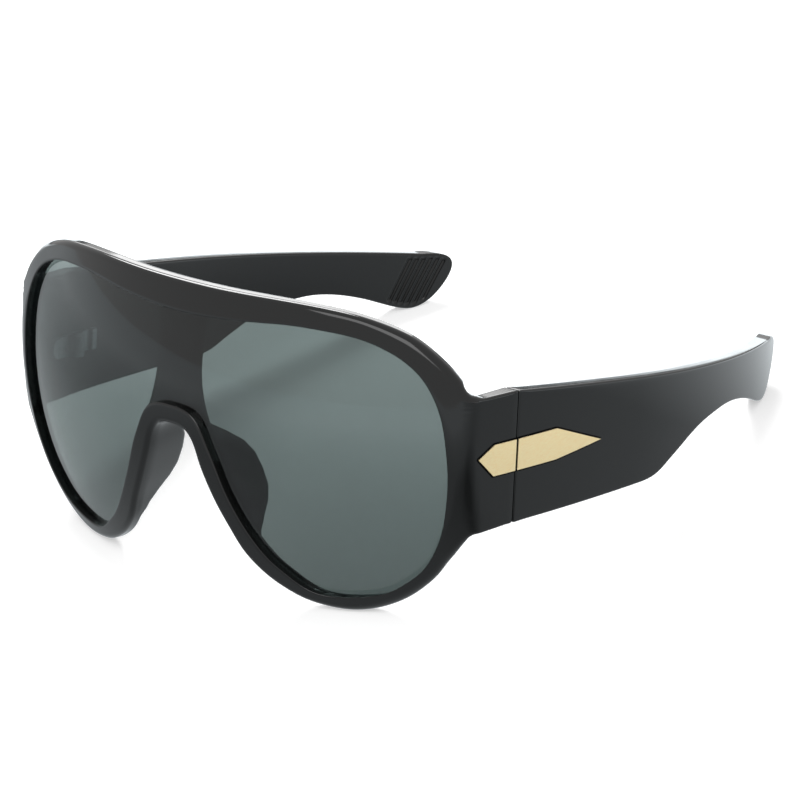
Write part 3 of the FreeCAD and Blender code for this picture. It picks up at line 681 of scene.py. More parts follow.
@dataclass(frozen=True)
class FrontFrame:
    """The moulded front: rim, nose pads that grow out of the nose wall, and the column behind the lens.

    Sizes are in mm. A run is the length over which one size eases into the next; where it is a pair, the
    first is where it starts.
    """

    # Seam to the temple, and how far its face slants so that no light shows through
    seam: float = 38.65
    seam_slant: float = 0.3
    seam_run: float = 6.0
    seam_points: int = 60
    notch: float = 0.6
    # End pieces: their levels, the lower edge's slope, their length and the depths between which coves lie
    ear_top: float = 55.3
    ear_bottom: float = 23.9
    ear_slope: float = 0.05
    ear_reach: float = 12.5
    cove_span: tuple[float, float] = (25.0, 29.0)
    # Rounding of the edges, and the distances from the seam where each gives way to the next
    edge: float = 1.2
    shoulder_edge: float = 2.0
    ear_edge: float = 0.6
    seam_edge: float = 0.3
    opening_edge: float = 0.35
    back_edge: float = 1.3
    ear_run: float = 2.0
    shoulder_run: tuple[float, float] = (10.0, 7.0)
    brow_run: tuple[float, float] = (22.0, 20.0)
    back_run: float = 14.0
    # Where lines across the face start on the outer edge and end on the opening: along the brow, at four
    # heights down the side, and up the nose
    brow_key: float = 52.0
    nose_key: float = 24.0
    hole_brow: float = 46.0
    hole_side: tuple[float, float, float, float] = (55.0, 50.0, 30.0, 24.5)
    hole_nose: float = 26.0
    # Stations from key to key; they crowd toward the small corners at the seam
    runs: tuple[tuple[int, Crowd], ...] = (
        (110, Crowd.EVEN), (90, Crowd.EVEN), (40, Crowd.END), (50, Crowd.BOTH), (40, Crowd.START),
        (80, Crowd.EVEN), (60, Crowd.EVEN), (60, Crowd.EVEN))
    # The wall runs straight back on the nose, up to this distance across; at the seam it runs inward
    nose_run: tuple[float, float] = (36.0, 12.0)
    straight_limit: float = 60.0
    side_start: float = 28.0
    # Points of the profile: outer edge, back edge, face, wall, back, opening wall
    round_points: int = 8
    back_points: int = 9
    face_points: int = 10
    wall_points: int = 10
    home_points: int = 20
    sink_points: int = 3
    # Nose pads, which lean toward the opening from a depth on
    pad_thickness: float = 2.9
    pad_tip: float = 1.5
    pad_lean: float = 0.14
    pad_lean_start: float = 3.0
    pad_cove: float = 0.9
    pad_run: float = 2.5
    pad_points: int = 8
    cove_points: int = 6
    # Column behind the lens
    column_half: float = 6.4
    column_flare: float = 1.8
    column_foot: float = 1.4
    column_low: float = 40.5
    column_high: float = 69.5
    column_radii: tuple[float, float] = (111.2, 109.7)
    column_powers: tuple[float, float] = (0.25, 0.7)
    column_rows: int = 40
    column_points: int = 48
    stance: Stance = field(default_factory=Stance)

    def outline(self) -> tuple[np.ndarray, list[float]]:
        """Draws the outer edge of the half front on the outer skin, as u and z.

        Formula: splines through the front view, laid on the skin; near the seam their heights ease to the
        top and bottom of the temples, with a small round at each corner.

        Returns:
            The polyline, and the distances along it that match those of the opening.
        """
        ends = []
        for curve, level, slope in ((spline(BROW, first=(1, 0)), self.ear_top, 0.0),
                                    (spline(LOWER, last=(-1, 0)), self.ear_bottom, self.ear_slope)):
            limit = OUTER.at(OUTER.u_of_y(self.seam, np.array([level])), np.array([level]))[0, 0]
            curve = curve[curve[:, 0] < limit]
            y = OUTER.at(OUTER.u_of_x(curve[:, 0], curve[:, 1]), curve[:, 1])[:, 1]
            ease = smooth_step((y - self.cove_span[0]) / (self.cove_span[1] - self.cove_span[0]))
            z = curve[:, 1] + (level - slope * (self.seam - y) - curve[:, 1]) * ease
            ends.append(np.stack([OUTER.u_of_x(curve[:, 0], z), z], axis=1))
        brow, lower = ends
        corners = [(float(OUTER.u_of_y(self.seam, np.array([z]))[0]), z)
                   for z in (self.ear_top, self.ear_bottom)]
        brow = brow[brow[:, 0] < corners[0][0] - self.notch]
        lower = lower[lower[:, 0] < corners[1][0] - self.notch]
        high = corner_arc(corners[0], (1, 0), (0, -1), self.notch)
        low = corner_arc(corners[1], (0, -1), (-1, 0), self.notch)
        z = np.linspace(self.ear_top - self.notch, self.ear_bottom + self.notch, self.seam_points)[1:-1]
        seam = np.stack([OUTER.u_of_y(np.full_like(z, self.seam), z), z], axis=1)
        line = np.vstack([brow, high, seam, low, lower])
        run = distance(line)
        marks = np.cumsum([len(brow), len(high), len(seam), len(low), len(lower)])
        bottom = marks[3] + int(np.argmin(lower[:, 1]))
        nose = bottom + nearest(line[bottom:, 1], self.nose_key)
        coves = [nearest(brow[:, 0], corners[0][0] - self.ear_reach),
                 marks[3] + nearest(lower[:, 0], corners[1][0] - self.ear_reach)]
        keys = [0, nearest(brow[:, 0], self.brow_key), coves[0], marks[0] + ARC_POINTS // 2,
                marks[2] + ARC_POINTS // 2, coves[1], bottom, nose, len(line) - 1]
        return line, [float(run[k]) for k in keys]

    def stations(self) -> tuple[np.ndarray, np.ndarray]:
        """Pairs points of the outer edge (u, z) with points of the opening (x, z), from brow to arch.

        Formula: between two keys both edges are divided into the same number of steps.

        Returns:
            Both rows of points.
        """
        line, keys = self.outline()
        hole = spline(OPENING, first=(1, 0), last=(-1, 0))
        run = distance(hole)
        turn, bottom = int(np.argmax(hole[:, 0])), int(np.argmin(hole[:, 1]))
        # The end pieces' edges face the sides of the opening, so no line across the face leaves the outline
        marks = [0, nearest(hole[:turn, 0], self.hole_brow)]
        marks += [nearest(hole[:turn, 1], z) for z in self.hole_side[:2]]
        marks += [turn + nearest(hole[turn:bottom, 1], z) for z in self.hole_side[2:]]
        marks += [bottom, bottom + nearest(hole[bottom:, 1], self.hole_nose), len(hole) - 1]
        outer, inner = [], []
        for k, (count, crowd) in enumerate(self.runs):
            t = np.arange(count + (k == len(self.runs) - 1)) / count
            outer.append(keys[k] + (keys[k + 1] - keys[k]) * crowd.spread(t))
            inner.append(run[marks[k]] + (run[marks[k + 1]] - run[marks[k]]) * t)
        return points_at(line, np.concatenate(outer)), points_at(hole, np.concatenate(inner))

    def inner_edge(self, edge: np.ndarray) -> np.ndarray:
        """Finds the back of the outer wall on the inner skin.

        The wall follows the normal of the outer skin in plan; on the nose it eases to straight back, and
        at the seam to straight inward.

        Args:
            edge: Outer edge, u and z.

        Returns:
            The back edge, u and z on the inner skin.
        """
        front = OUTER.at(edge[:, 0], edge[:, 1])
        turned = INNER.u_of_normal(OUTER.normal_of(*edge.T), edge[:, 1])
        straight = INNER.u_of_x(np.minimum(front[:, 0], self.straight_limit), edge[:, 1])
        # The seam face slants back a little, so that no light shows through the seam
        sideways = INNER.u_of_y(np.maximum(front[:, 1], self.side_start) + self.seam_slant, edge[:, 1])
        on_nose = np.arange(len(edge)) > np.argmin(edge[:, 1])
        nose = np.where(on_nose, smooth_step((self.nose_run[0] - front[:, 0]) / self.nose_run[1]), 0.0)
        seam = smooth_step((front[:, 1] - self.seam + self.seam_run) / self.seam_run)
        u = turned + nose * (straight - turned) + seam * (sideways - turned)
        return np.stack([u, edge[:, 1]], axis=1)

    def ring(self) -> np.ndarray:
        """Carries the rim's profile round the opening.

        Formula: at every station the profile goes from the opening wall over its edge, across the face,
        over the outer edge, back along the wall, and home along the back; on the nose the wall runs on
        as a leaning fin with a half-oval end and a cove down to the back.

        Returns:
            Grid of design points, stations by profile points, closed both ways.
        """
        edge, hole = self.stations()
        hole_u = np.stack([OUTER.u_of_x(hole[:, 0], hole[:, 1]), hole[:, 1]], axis=1)
        back = self.inner_edge(edge)
        hole_b = np.stack([INNER.u_of_x(hole[:, 0], hole[:, 1]), hole[:, 1]], axis=1)
        front_edge, back_edge = OUTER.at(*edge.T), INNER.at(*back.T)
        hole_front, hole_back = OUTER.at(*hole_u.T), INNER.at(*hole_b.T)
        wall = back_edge - front_edge
        deep = np.linalg.norm(wall, axis=1)
        wall = wall / deep[:, None]
        draw = hole_back - hole_front
        draw = draw / np.linalg.norm(draw, axis=1)[:, None]

        to_seam = OUTER.u_of_y(np.full(len(edge), self.seam), edge[:, 1]) - edge[:, 0]
        shoulder, brow = (smooth_step((to_seam - start) / length)
                          for start, length in (self.shoulder_run, self.brow_run))
        radius = (self.seam_edge + (self.ear_edge - self.seam_edge) * smooth_step(to_seam / self.ear_run)
                  + (self.shoulder_edge - self.ear_edge) * shoulder - (self.shoulder_edge - self.edge) * brow)
        rear = self.seam_edge + (self.back_edge - self.seam_edge) * smooth_step(to_seam / self.back_run)
        face_out = edge + radius[:, None] * inward(edge, False)
        face_in = hole_u - self.opening_edge * inward(hole_u, False)
        rear_in = back + rear[:, None] * inward(back, False)
        rear_out = hole_b - self.opening_edge * inward(hole_b, False)

        down, up = np.linspace(QUARTER, 0, self.round_points), np.linspace(0, QUARTER, self.round_points)
        rise = edge_round(hole_front, OUTER.at(*face_in.T), hole_front + self.opening_edge * draw, up[::2])
        face = lerp(face_in, face_out, between(self.face_points))
        face = OUTER.at(face[..., 0], face[..., 1])
        start = front_edge + radius[:, None] * wall
        over = edge_round(front_edge, OUTER.at(*face_out.T), start, down)
        stop = back_edge - rear[:, None] * wall
        back_start, back_end = INNER.at(*rear_in.T), INNER.at(*rear_out.T)
        home = lerp(rear_in, rear_out, between(self.home_points))
        plain = np.concatenate([
            lerp(start, stop, between(self.wall_points)),
            edge_round(back_edge, back_start, stop, np.linspace(0, QUARTER, self.back_points)),
            INNER.at(home[..., 0], home[..., 1])], axis=1)
        fin = self.fin(front_edge, wall, deep, radius, back_start - back_edge, back_end)
        nose = np.arange(len(edge)) > np.argmin(edge[:, 1])
        depth = np.interp(edge[:, 1], *np.array(PAD_DEPTH).T)
        share = np.where(nose, smooth_step((depth - deep) / self.pad_run), 0.0)[:, None, None]
        rest = plain * (1 - share) + fin * share
        drop = edge_round(hole_back, back_end, hole_back - self.opening_edge * draw, down[::2])
        sink = lerp(drop[:, -1], rise[:, 0], between(self.sink_points))
        half = np.concatenate([rise, face, over, rest, drop, sink], axis=1)
        mirrored = half[-2:0:-1] * np.array([-1.0, 1.0, 1.0])
        return np.concatenate([half, mirrored], axis=0)

    def fin(self, edge: np.ndarray, wall: np.ndarray, deep: np.ndarray, radius: np.ndarray,
            across: np.ndarray, end: np.ndarray) -> np.ndarray:
        """Shapes the nose pads as the outer wall running on behind the rim.

        Formula: back along the leaning wall, half an oval round the end, forward again at the pad's
        thickness, a quarter circle into the back, and along the back to the opening.

        Args:
            edge: Outer edge of the face.
            wall: Direction of the wall, from front to back.
            deep: Depth of the rim.
            radius: Rounding of the outer edge.
            across: Direction along the back from the wall toward the opening.
            end: Where the back meets the opening.

        Returns:
            Grid of design points with as many columns as the plain back.
        """
        across = across / np.linalg.norm(across, axis=1)[:, None]
        least = deep + self.pad_cove + self.pad_tip
        root = np.maximum(np.interp(edge[:, 2], *np.array(PAD_DEPTH).T), least) - self.pad_tip

        def lean(d: np.ndarray) -> np.ndarray:
            """Gives how far the nose side of the fin has leant at a depth."""
            return self.pad_lean * np.maximum(d - self.pad_lean_start, 0.0)

        def at(a: np.ndarray, d: np.ndarray) -> np.ndarray:
            """Gives points at offsets across and depths back."""
            return edge[:, None] + wall[:, None] * d[..., None] + across[:, None] * a[..., None]

        t = between(self.wall_points)[None]
        d = radius[:, None] * (1 - t) + root[:, None] * t
        parts = [at(lean(d), d)]
        a = np.linspace(0, np.pi, self.back_points)[None]
        half = self.pad_thickness / 2
        parts.append(at(lean(root)[:, None] + half - half * np.cos(a),
                        root[:, None] + self.pad_tip * np.sin(a)))
        t = between(self.pad_points)[None]
        d = root[:, None] * (1 - t) + (deep + self.pad_cove)[:, None] * t
        parts.append(at(lean(d) + self.pad_thickness, d))
        a = np.linspace(0, QUARTER, self.cove_points)[None]
        foot = lean(deep)[:, None] + self.pad_thickness
        cove = at(foot + self.pad_cove * (1 - np.cos(a)), deep[:, None] + self.pad_cove * (1 - np.sin(a)))
        last = self.home_points - self.pad_points - self.cove_points
        return np.concatenate(parts + [cove, lerp(cove[:, -1], end, between(last))], axis=1)

    def column(self) -> np.ndarray:
        """Carries a thin rounded band up the middle behind the lens.

        Formula: at every height an oval band between two balls, wider toward both ends as a parabola.

        Returns:
            Grid of design points, heights by profile points; its ends are buried in the rim.
        """
        z = np.linspace(self.column_low, self.column_high, self.column_rows)
        share = (z - z.mean()) / (np.ptp(z) / 2)
        wide = self.column_half + (self.column_flare + np.where(share < 0, self.column_foot, 0.0)) * share**2
        a = np.linspace(0, 2 * np.pi, self.column_points, endpoint=False)
        # A square-ish oval keeps the band flat with soft edges
        across, through = (np.sign(wave) * np.abs(wave) ** power
                           for wave, power in zip((np.cos(a), np.sin(a)), self.column_powers))
        x = wide[:, None] * across[None]
        ball = np.mean(self.column_radii) + (self.column_radii[0] - self.column_radii[1]) / 2 * through[None]
        zz = np.broadcast_to(z[:, None], x.shape)
        y = OUTER.front - np.sqrt(ball**2 - x**2 - (zz - OUTER.pole) ** 2)
        band = np.stack([x, y, zz], axis=-1)
        ends = [np.broadcast_to(band[k].mean(axis=0), band[k].shape)[None] for k in (0, -1)]
        return np.concatenate([ends[0], band, ends[1]], axis=0)

    def build(self, material: Any) -> Any:
        """Makes the object and sets it in place of the CAD front.

        Args:
            material: Finish of the piece.

        Returns:
            The new object.
        """
        obj = surface("moulded_front", [(self.ring(), True, True), (self.column(), False, True)], self.stance)
        dress(obj, material)
        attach(obj, Body.FRONT.value)
        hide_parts("front_frame")
        return obj


@dataclass(frozen=True)
class ShieldLens:
    """The one-piece lens: a shell between two balls, let into the rim all round, in mm."""

    outer_ball: float = 112.5
    inner_ball: float = 111.3
    grow: float = 0.95
    columns: int = 181
    rows: int = 61
    edge_step: float = 0.004
    stance: Stance = field(default_factory=Stance)

    def grid(self) -> np.ndarray:
        """Fills the lens outline with upright lines on both balls.

        Formula: x runs as the sine of the column's share, z between the lower and the upper outline, y
        from the ball; each line goes up the front and down the back.

        Returns:
            Grid of design points, columns by line points, closed along the lines.
        """
        half = spline(OPENING, first=(1, 0), last=(-1, 0))
        half = half - self.grow * inward(half, False)
        half[0, 0] = half[-1, 0] = 0.0
        turn = int(np.argmax(half[:, 0]))
        x = half[turn, 0] * np.sin(np.linspace(-QUARTER, QUARTER, self.columns))
        high = np.interp(np.abs(x), half[:turn + 1, 0], half[:turn + 1, 1])
        low = np.interp(np.abs(x), half[turn:, 0][::-1], half[turn:, 1][::-1])
        # The first and last steps are short, so that the edge does not bend the shine of the faces
        share = np.concatenate([[0], np.linspace(self.edge_step, 1 - self.edge_step, self.rows - 2), [1]])
        z = low[:, None] * (1 - share) + high[:, None] * share
        faces = []
        for ball, way in ((self.outer_ball, 1), (self.inner_ball, -1)):
            y = OUTER.front - np.sqrt(ball**2 - x[:, None] ** 2 - (z - OUTER.pole) ** 2)
            faces.append(np.stack([np.broadcast_to(x[:, None], z.shape), y, z], axis=-1)[:, ::way])
        return np.concatenate(faces, axis=1)

    def build(self, material: Any) -> Any:
        """Makes the object and sets it in place of the CAD lens.

        Args:
            material: Finish of the piece.

        Returns:
            The new object.
        """
        obj = surface("tinted_shield", [(self.grid(), False, True)], self.stance)
        dress(obj, material)
        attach(obj, Body.FRONT.value)
        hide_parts("shield_lens")
        return obj


@dataclass(frozen=True)
class Temple:
    """One side arm: a tall plate that narrows, dips at the ear and ends in a rounded tip with ribs inside.

    Sizes are in mm; places are back from the foremost point and up.
    """

    side: Side
    seam: float = 38.95
    top: float = 55.3
    bottom: float = 23.9
    top_end: tuple[float, float] = (156.73, 41.6)
    wall: float = 4.0
    edge: float = 0.6
    seam_edge: float = 0.3
    edge_run: tuple[float, float] = (0.3, 4.0)
    notch: float = 0.6
    # The face bows as the front's side does, and bends in more behind the crest
    bow: float = OUTER.bow
    bend: float = 190.0
    crest: float = OUTER.crest
    half_width: float = OUTER.half_width
    # Stations stand closer behind each of these depths, closest where the ribs are
    plain_end: float = 60.0
    ribs_start: float = 144.0
    tip_start: float = 160.0
    counts: tuple[int, int, int] = (14, 60, 100)
    tip_points: int = 62
    seam_points: int = 40
    # Ends of the middle line that the profiles meet at
    middle: tuple[float, float] = (47.0, 159.0)
    # Points of the profile: outer face, rounded edges, wall, inner face
    face_points: int = 12
    round_points: int = 9
    wall_points: tuple[float, float] = (0.33, 0.67)
    home_points: int = 34
    # Grooves inside the tip, and the share of the inner face over which they run out
    rib_count: int = 6
    rib_pitch: float = 1.68
    rib_depth: float = 0.45
    rib_lean: float = 26.0
    rib_place: tuple[float, float] = (155.6, 35.0)
    rib_fade: float = 0.15
    stance: Stance = field(default_factory=Stance)
    # Lower edge in side view, from the end of its level run round the tip to the top
    lower: tuple = ((85.7, 23.9), (92.27, 24.69), (96.94, 26.66), (102, 28.83), (107.31, 30.99), (113, 32.57),
                    (119.32, 33.45), (126.4, 33.75), (134.1, 32.8), (144.47, 29.89), (151.04, 27.6),
                    (155.21, 27.1), (158.88, 28.55), (162.04, 31.45), (164.19, 34.64), (165.2, 37.54),
                    (164.95, 39.43), (162.67, 41.02), (156.73, 41.6))

    def x_at(self, y: np.ndarray, inset: float) -> np.ndarray:
        """Gives the distance of the outer face, or of one inset from it, from the middle plane."""
        radius = np.where(y < self.crest, self.bow, self.bend)
        return self.half_width - radius + np.sqrt((radius - inset) ** 2 - (y - self.crest) ** 2)

    def loop(self) -> tuple[np.ndarray, np.ndarray]:
        """Draws the side outline, and the point of the middle line that each station belongs to.

        Formula: up the seam, along a straight top, round the tip and back along a spline; the middle line
        is halfway between top and bottom.

        Returns:
            Both rows of points, back and up, closed on themselves.
        """
        run = np.subtract(self.top_end, (self.seam, self.top))
        run = run / np.linalg.norm(run)
        curve = spline(list(self.lower), first=(1, 0), last=tuple(-run))
        far = int(np.argmax(curve[:, 0]))
        y = np.concatenate([np.linspace(self.seam + self.notch, self.plain_end, self.counts[0]),
                            np.linspace(self.plain_end, self.ribs_start, self.counts[1])[1:],
                            np.linspace(self.ribs_start, self.tip_start, self.counts[2])[1:]])
        rise = self.top + (y - self.seam) * run[1] / run[0]
        high = np.where(y < self.top_end[0], rise, np.interp(y, curve[far:, 0][::-1], curve[far:, 1][::-1]))
        low = np.where(y < curve[0, 0], self.bottom, np.interp(y, curve[:far, 0], curve[:far, 1]))
        tip = curve[curve[:, 0] > self.tip_start][::-1]
        tip = points_at(tip, np.linspace(0, distance(tip)[-1], self.tip_points))[1:-1]
        z = np.linspace(self.bottom + self.notch, self.top - self.notch, self.seam_points)[1:-1]
        line = np.vstack([
            np.stack([np.full_like(z, self.seam), z], axis=1),
            corner_arc((self.seam, self.top), (0, 1), tuple(run), self.notch)[:-1],
            np.stack([y, high], axis=1), tip, np.stack([y, low], axis=1)[::-1],
            corner_arc((self.seam, self.bottom), (-1, 0), (0, 1), self.notch)[1:]])
        back = np.clip(line[:, 0], *self.middle)
        return line, np.stack([back, np.interp(back, y, (high + low) / 2)], axis=1)

    def ribs(self, points: np.ndarray) -> np.ndarray:
        """Gives the depth of the leaning grooves inside the tip.

        Formula: half the depth times one less the cosine of the distance across the grooves, one turn for
        every pitch, inside the ribbed band.

        Args:
            points: Places back and up on the inner face.

        Returns:
            Depths.
        """
        lean = math.radians(self.rib_lean)
        across = ((points[..., 0] - self.rib_place[0]) * math.cos(lean)
                  - (points[..., 1] - self.rib_place[1]) * math.sin(lean))
        half = self.rib_count * self.rib_pitch / 2
        wave = (1 - np.cos(2 * np.pi * (across + half) / self.rib_pitch)) / 2
        return np.where(np.abs(across) < half, self.rib_depth * wave, 0.0)

    def grid(self) -> np.ndarray:
        """Carries a profile round the side outline.

        Formula: at every station the profile goes from the middle line of the outer face to its edge,
        round it, through the wall, round the inner edge and home to the middle line of the inner face;
        across the wall each face bows as a circle in plan.

        Returns:
            Grid of design points, stations by profile points, closed along the stations.
        """
        line, middle = self.loop()
        ease = smooth_step((line[:, 0] - self.seam - self.edge_run[0]) / self.edge_run[1])
        radius = self.seam_edge + (self.edge - self.seam_edge) * ease
        inset = line + radius[:, None] * inward(line, True)

        def on_face(places: np.ndarray, depth: float) -> np.ndarray:
            """Lifts places in side view onto a face."""
            return np.stack([self.x_at(places[..., 0], depth), places[..., 0], places[..., 1]], axis=-1)

        outer, inner = on_face(line, 0.0), on_face(line, self.wall)
        through = (inner - outer) / np.linalg.norm(inner - outer, axis=1)[:, None]
        start, stop = outer + radius[:, None] * through, inner - radius[:, None] * through
        near = lerp(middle, inset, np.linspace(0, 1, self.face_points)[:-1])
        share = np.linspace(0, 1, self.home_points)[1:]
        home = lerp(inset, middle, share)
        back = on_face(home, self.wall)
        # The grooves run out before they reach the edge
        back[..., 0] += self.ribs(home) * smooth_step(share / self.rib_fade)
        angles = np.linspace(0, QUARTER, self.round_points)
        half = np.concatenate([
            on_face(near, 0.0), edge_round(outer, on_face(inset, 0.0), start, angles[::-1]),
            lerp(start, stop, np.array(self.wall_points)),
            edge_round(inner, on_face(inset, self.wall), stop, angles), back], axis=1)
        return half * np.array([float(self.side.value), 1.0, 1.0])

    def build(self, material: Any) -> Any:
        """Makes the object and sets it in place of the CAD temple.

        Args:
            material: Finish of the piece.

        Returns:
            The new object.
        """
        body = Body.LEFT if self.side is Side.LEFT else Body.RIGHT
        obj = surface("moulded_" + body.value, [(self.grid(), True, False)], self.stance)
        dress(obj, material)
        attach(obj, body.value)
        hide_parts(body.value)
        return obj


@dataclass(frozen=True)
class InlayShadeBead:
    """A thin dark tube round one inlay plate, painted shade that stands in for the shade of the gap round it,
    in mm.
    """

    side: Side
    ahead: bool
    half: float = 3.7
    middle: float = 40.2
    gap: float = 0.2
    radius: float = 0.2
    stations: int = 160
    circle_points: int = 10
    # How far back the cut at the seam, the shoulder and the point lie, and the height of the point
    front: tuple[float, float, float, float] = (38.45, 31.4, 26.4, 41.2)
    rear: tuple[float, float, float, float] = (39.15, 52.2, 68.2, 38.2)
    stance: Stance = field(default_factory=Stance)

    def grid(self) -> np.ndarray:
        """Carries a small circle round the outline of the plate.

        Formula: each point of the outline moves out by the gap, lies on the bowed side face, and bears a
        circle across the line.

        Returns:
            Grid of design points, stations by circle points, closed both ways.
        """
        cut, shoulder, point, level = self.front if self.ahead else self.rear
        high, low = self.middle + self.half, self.middle - self.half
        corners = np.array([(cut, high), (shoulder, high), (point, level), (shoulder, low), (cut, low),
                            (cut, high)])
        line = points_at(corners, np.linspace(0, distance(corners)[-1], self.stations, endpoint=False))
        out = inward(line, True) * (1 if self.ahead else -1)
        line = line + self.gap * out
        a = np.linspace(0, 2 * np.pi, self.circle_points, endpoint=False)[None, :, None]
        flat = line[:, None] + self.radius * np.cos(a) * out[:, None]
        x = Temple(self.side).x_at(flat[..., 0], 0.0) + self.radius * np.sin(a)[..., 0]
        return np.stack([x * self.side.value, flat[..., 0], flat[..., 1]], axis=-1)

    def build(self, material: Any) -> Any:
        """Makes the object on the body that bears the plate.

        Args:
            material: Finish of the piece.

        Returns:
            The new object.
        """
        rear = Body.LEFT if self.side is Side.LEFT else Body.RIGHT
        name = "%s_%s_bead" % (self.side.name.lower(), "front" if self.ahead else "temple")
        obj = surface(name, [(self.grid(), True, True)], self.stance)
        dress(obj, material)
        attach(obj, (Body.FRONT if self.ahead else rear).value)
        return obj


# ---------------------------------------------------------------- studio


@dataclass(frozen=True)
class WhiteTable:
    """Matt white laminate: white to the eye, with the object's soft shadow; in reflections it glows at
    painted levels, a painted reflection.

    Depths, distances and places are in metres; colours and levels are linear.
    """

    name: str = "white_table"
    glow: float = 0.48
    matt: tuple[float, float, float, float] = (0.75, 0.75, 0.75, 1)
    # Painted reflection: colour of the glow that the table shows only in reflections
    painted_reflection: tuple[float, float, float, float] = (0.94, 1.0, 1.03, 1)
    # Each row: from where to where, and the painted reflection levels there
    far: tuple[float, float, float, float] = (0.2, 0.5, 0.0, 0.6)
    ahead: tuple[float, float, float, float] = (-0.1, 0.1, 1.0, 0.0)
    rear: tuple[float, float, float, float] = (0.05, 0.2, 0.65, 3.0)
    end: tuple[float, float, float, float] = (0.3, 0.45, 1.0, 0.06)
    # Painted shade: a dark spot in the table's painted reflection, beside the object
    spot: tuple[float, float, float, float] = (0.02, 0.075, 0.3, 1.0)
    painted_dark_spot_place: tuple[float, float, float] = (0.145, -0.085, 0.0)

    def build(self) -> Any:
        """Makes the material: matt white that glows to the eye, and in reflections glows instead at a painted
        level, a painted reflection.

        Returns:
            The material.
        """
        material, tree, out = new_material(self.name)
        path = tree.nodes.new("ShaderNodeLightPath")
        seen = add_node(tree, "ShaderNodeMath", {"operation": "MAXIMUM"},
                        i0=path.outputs["Is Camera Ray"], i1=path.outputs["Is Transmission Ray"])
        glow = add_node(tree, "ShaderNodeMath", {"operation": "MULTIPLY"}, i0=seen.outputs[0], i1=self.glow)
        light = add_node(tree, "ShaderNodeEmission", Color=(1, 1, 1, 1), Strength=glow.outputs[0])
        matt = add_node(tree, "ShaderNodeBsdfDiffuse", Color=self.matt)
        both = add_node(tree, "ShaderNodeAddShader", i0=light.outputs[0], i1=matt.outputs[0])
        # Painted reflection: in reflections the table glows, painted brighter in front and just behind the
        # object, and dark far behind it; a painted dark spot beside the object puts a painted dark band on
        # its round corner
        place = tree.nodes.new("ShaderNodeTexCoord").outputs["Object"]
        away = add_node(tree, "ShaderNodeVectorMath", {"operation": "LENGTH"}, i0=place).outputs["Value"]
        beside = add_node(tree, "ShaderNodeVectorMath", {"operation": "DISTANCE"}, i0=place,
                          i1=self.painted_dark_spot_place).outputs["Value"]
        depth = add_node(tree, "ShaderNodeSeparateXYZ", Vector=place).outputs[1]
        far, ahead, rear, end, painted_dark_spot = (
            add_node(tree, "ShaderNodeMapRange", i0=value, From_Min=row[0], From_Max=row[1], To_Min=row[2],
                     To_Max=row[3]).outputs[0]
            for value, row in ((away, self.far), (depth, self.ahead), (depth, self.rear), (depth, self.end),
                               (beside, self.spot)))
        level = add_node(tree, "ShaderNodeMath", {"operation": "MULTIPLY_ADD"}, i0=far, i1=ahead, i2=rear)
        # The far end dims the painted reflection, and the painted dark spot darkens it beside the object
        for factor in (end, painted_dark_spot):
            level = add_node(tree, "ShaderNodeMath", {"operation": "MULTIPLY"}, i0=level.outputs[0],
                             i1=factor)
        # Painted reflection: the table glows at the painted level for reflected rays
        painted_reflection = add_node(tree, "ShaderNodeEmission", Color=self.painted_reflection, Strength=level.outputs[0])
        # A ray through the lens counts as glossy too, so it is taken off: only true reflections see the
        # painted reflection
        painted_reflection_mask = add_node(tree, "ShaderNodeMath", {"operation": "SUBTRACT", "use_clamp": True},
                          i0=path.outputs["Is Glossy Ray"], i1=path.outputs["Is Transmission Ray"])
        mixed = add_node(tree, "ShaderNodeMixShader", i0=painted_reflection_mask.outputs[0], i1=both.outputs[0],
                         i2=painted_reflection.outputs[0])
        tree.links.new(mixed.outputs[0], out.inputs[0])
        return material


@dataclass(frozen=True)
class SoftBox:
    """A lamp with an even rectangular face: place, aim and size in mm, power in watts."""

    name: str
    place: tuple[float, float, float]
    aim: tuple[float, float, float]
    size: tuple[float, float]
    power: float
    lights_matt: bool = True

    def build(self) -> None:
        """Adds the lamp, which faces its aim; one that lights nothing matt shows only in reflections."""
        data = bpy.data.lights.new(self.name, "AREA")
        data.shape = "RECTANGLE"
        data.size, data.size_y = self.size[0] * MM, self.size[1] * MM
        data.energy = self.power
        obj = bpy.data.objects.new(self.name, data)
        bpy.context.scene.collection.objects.link(obj)
        obj.visible_diffuse = self.lights_matt
        turn = (Vector(self.aim) - Vector(self.place)).to_track_quat("-Z", "Y")
        obj.matrix_world = Matrix.Translation(Vector(self.place) * MM) @ turn.to_matrix().to_4x4()


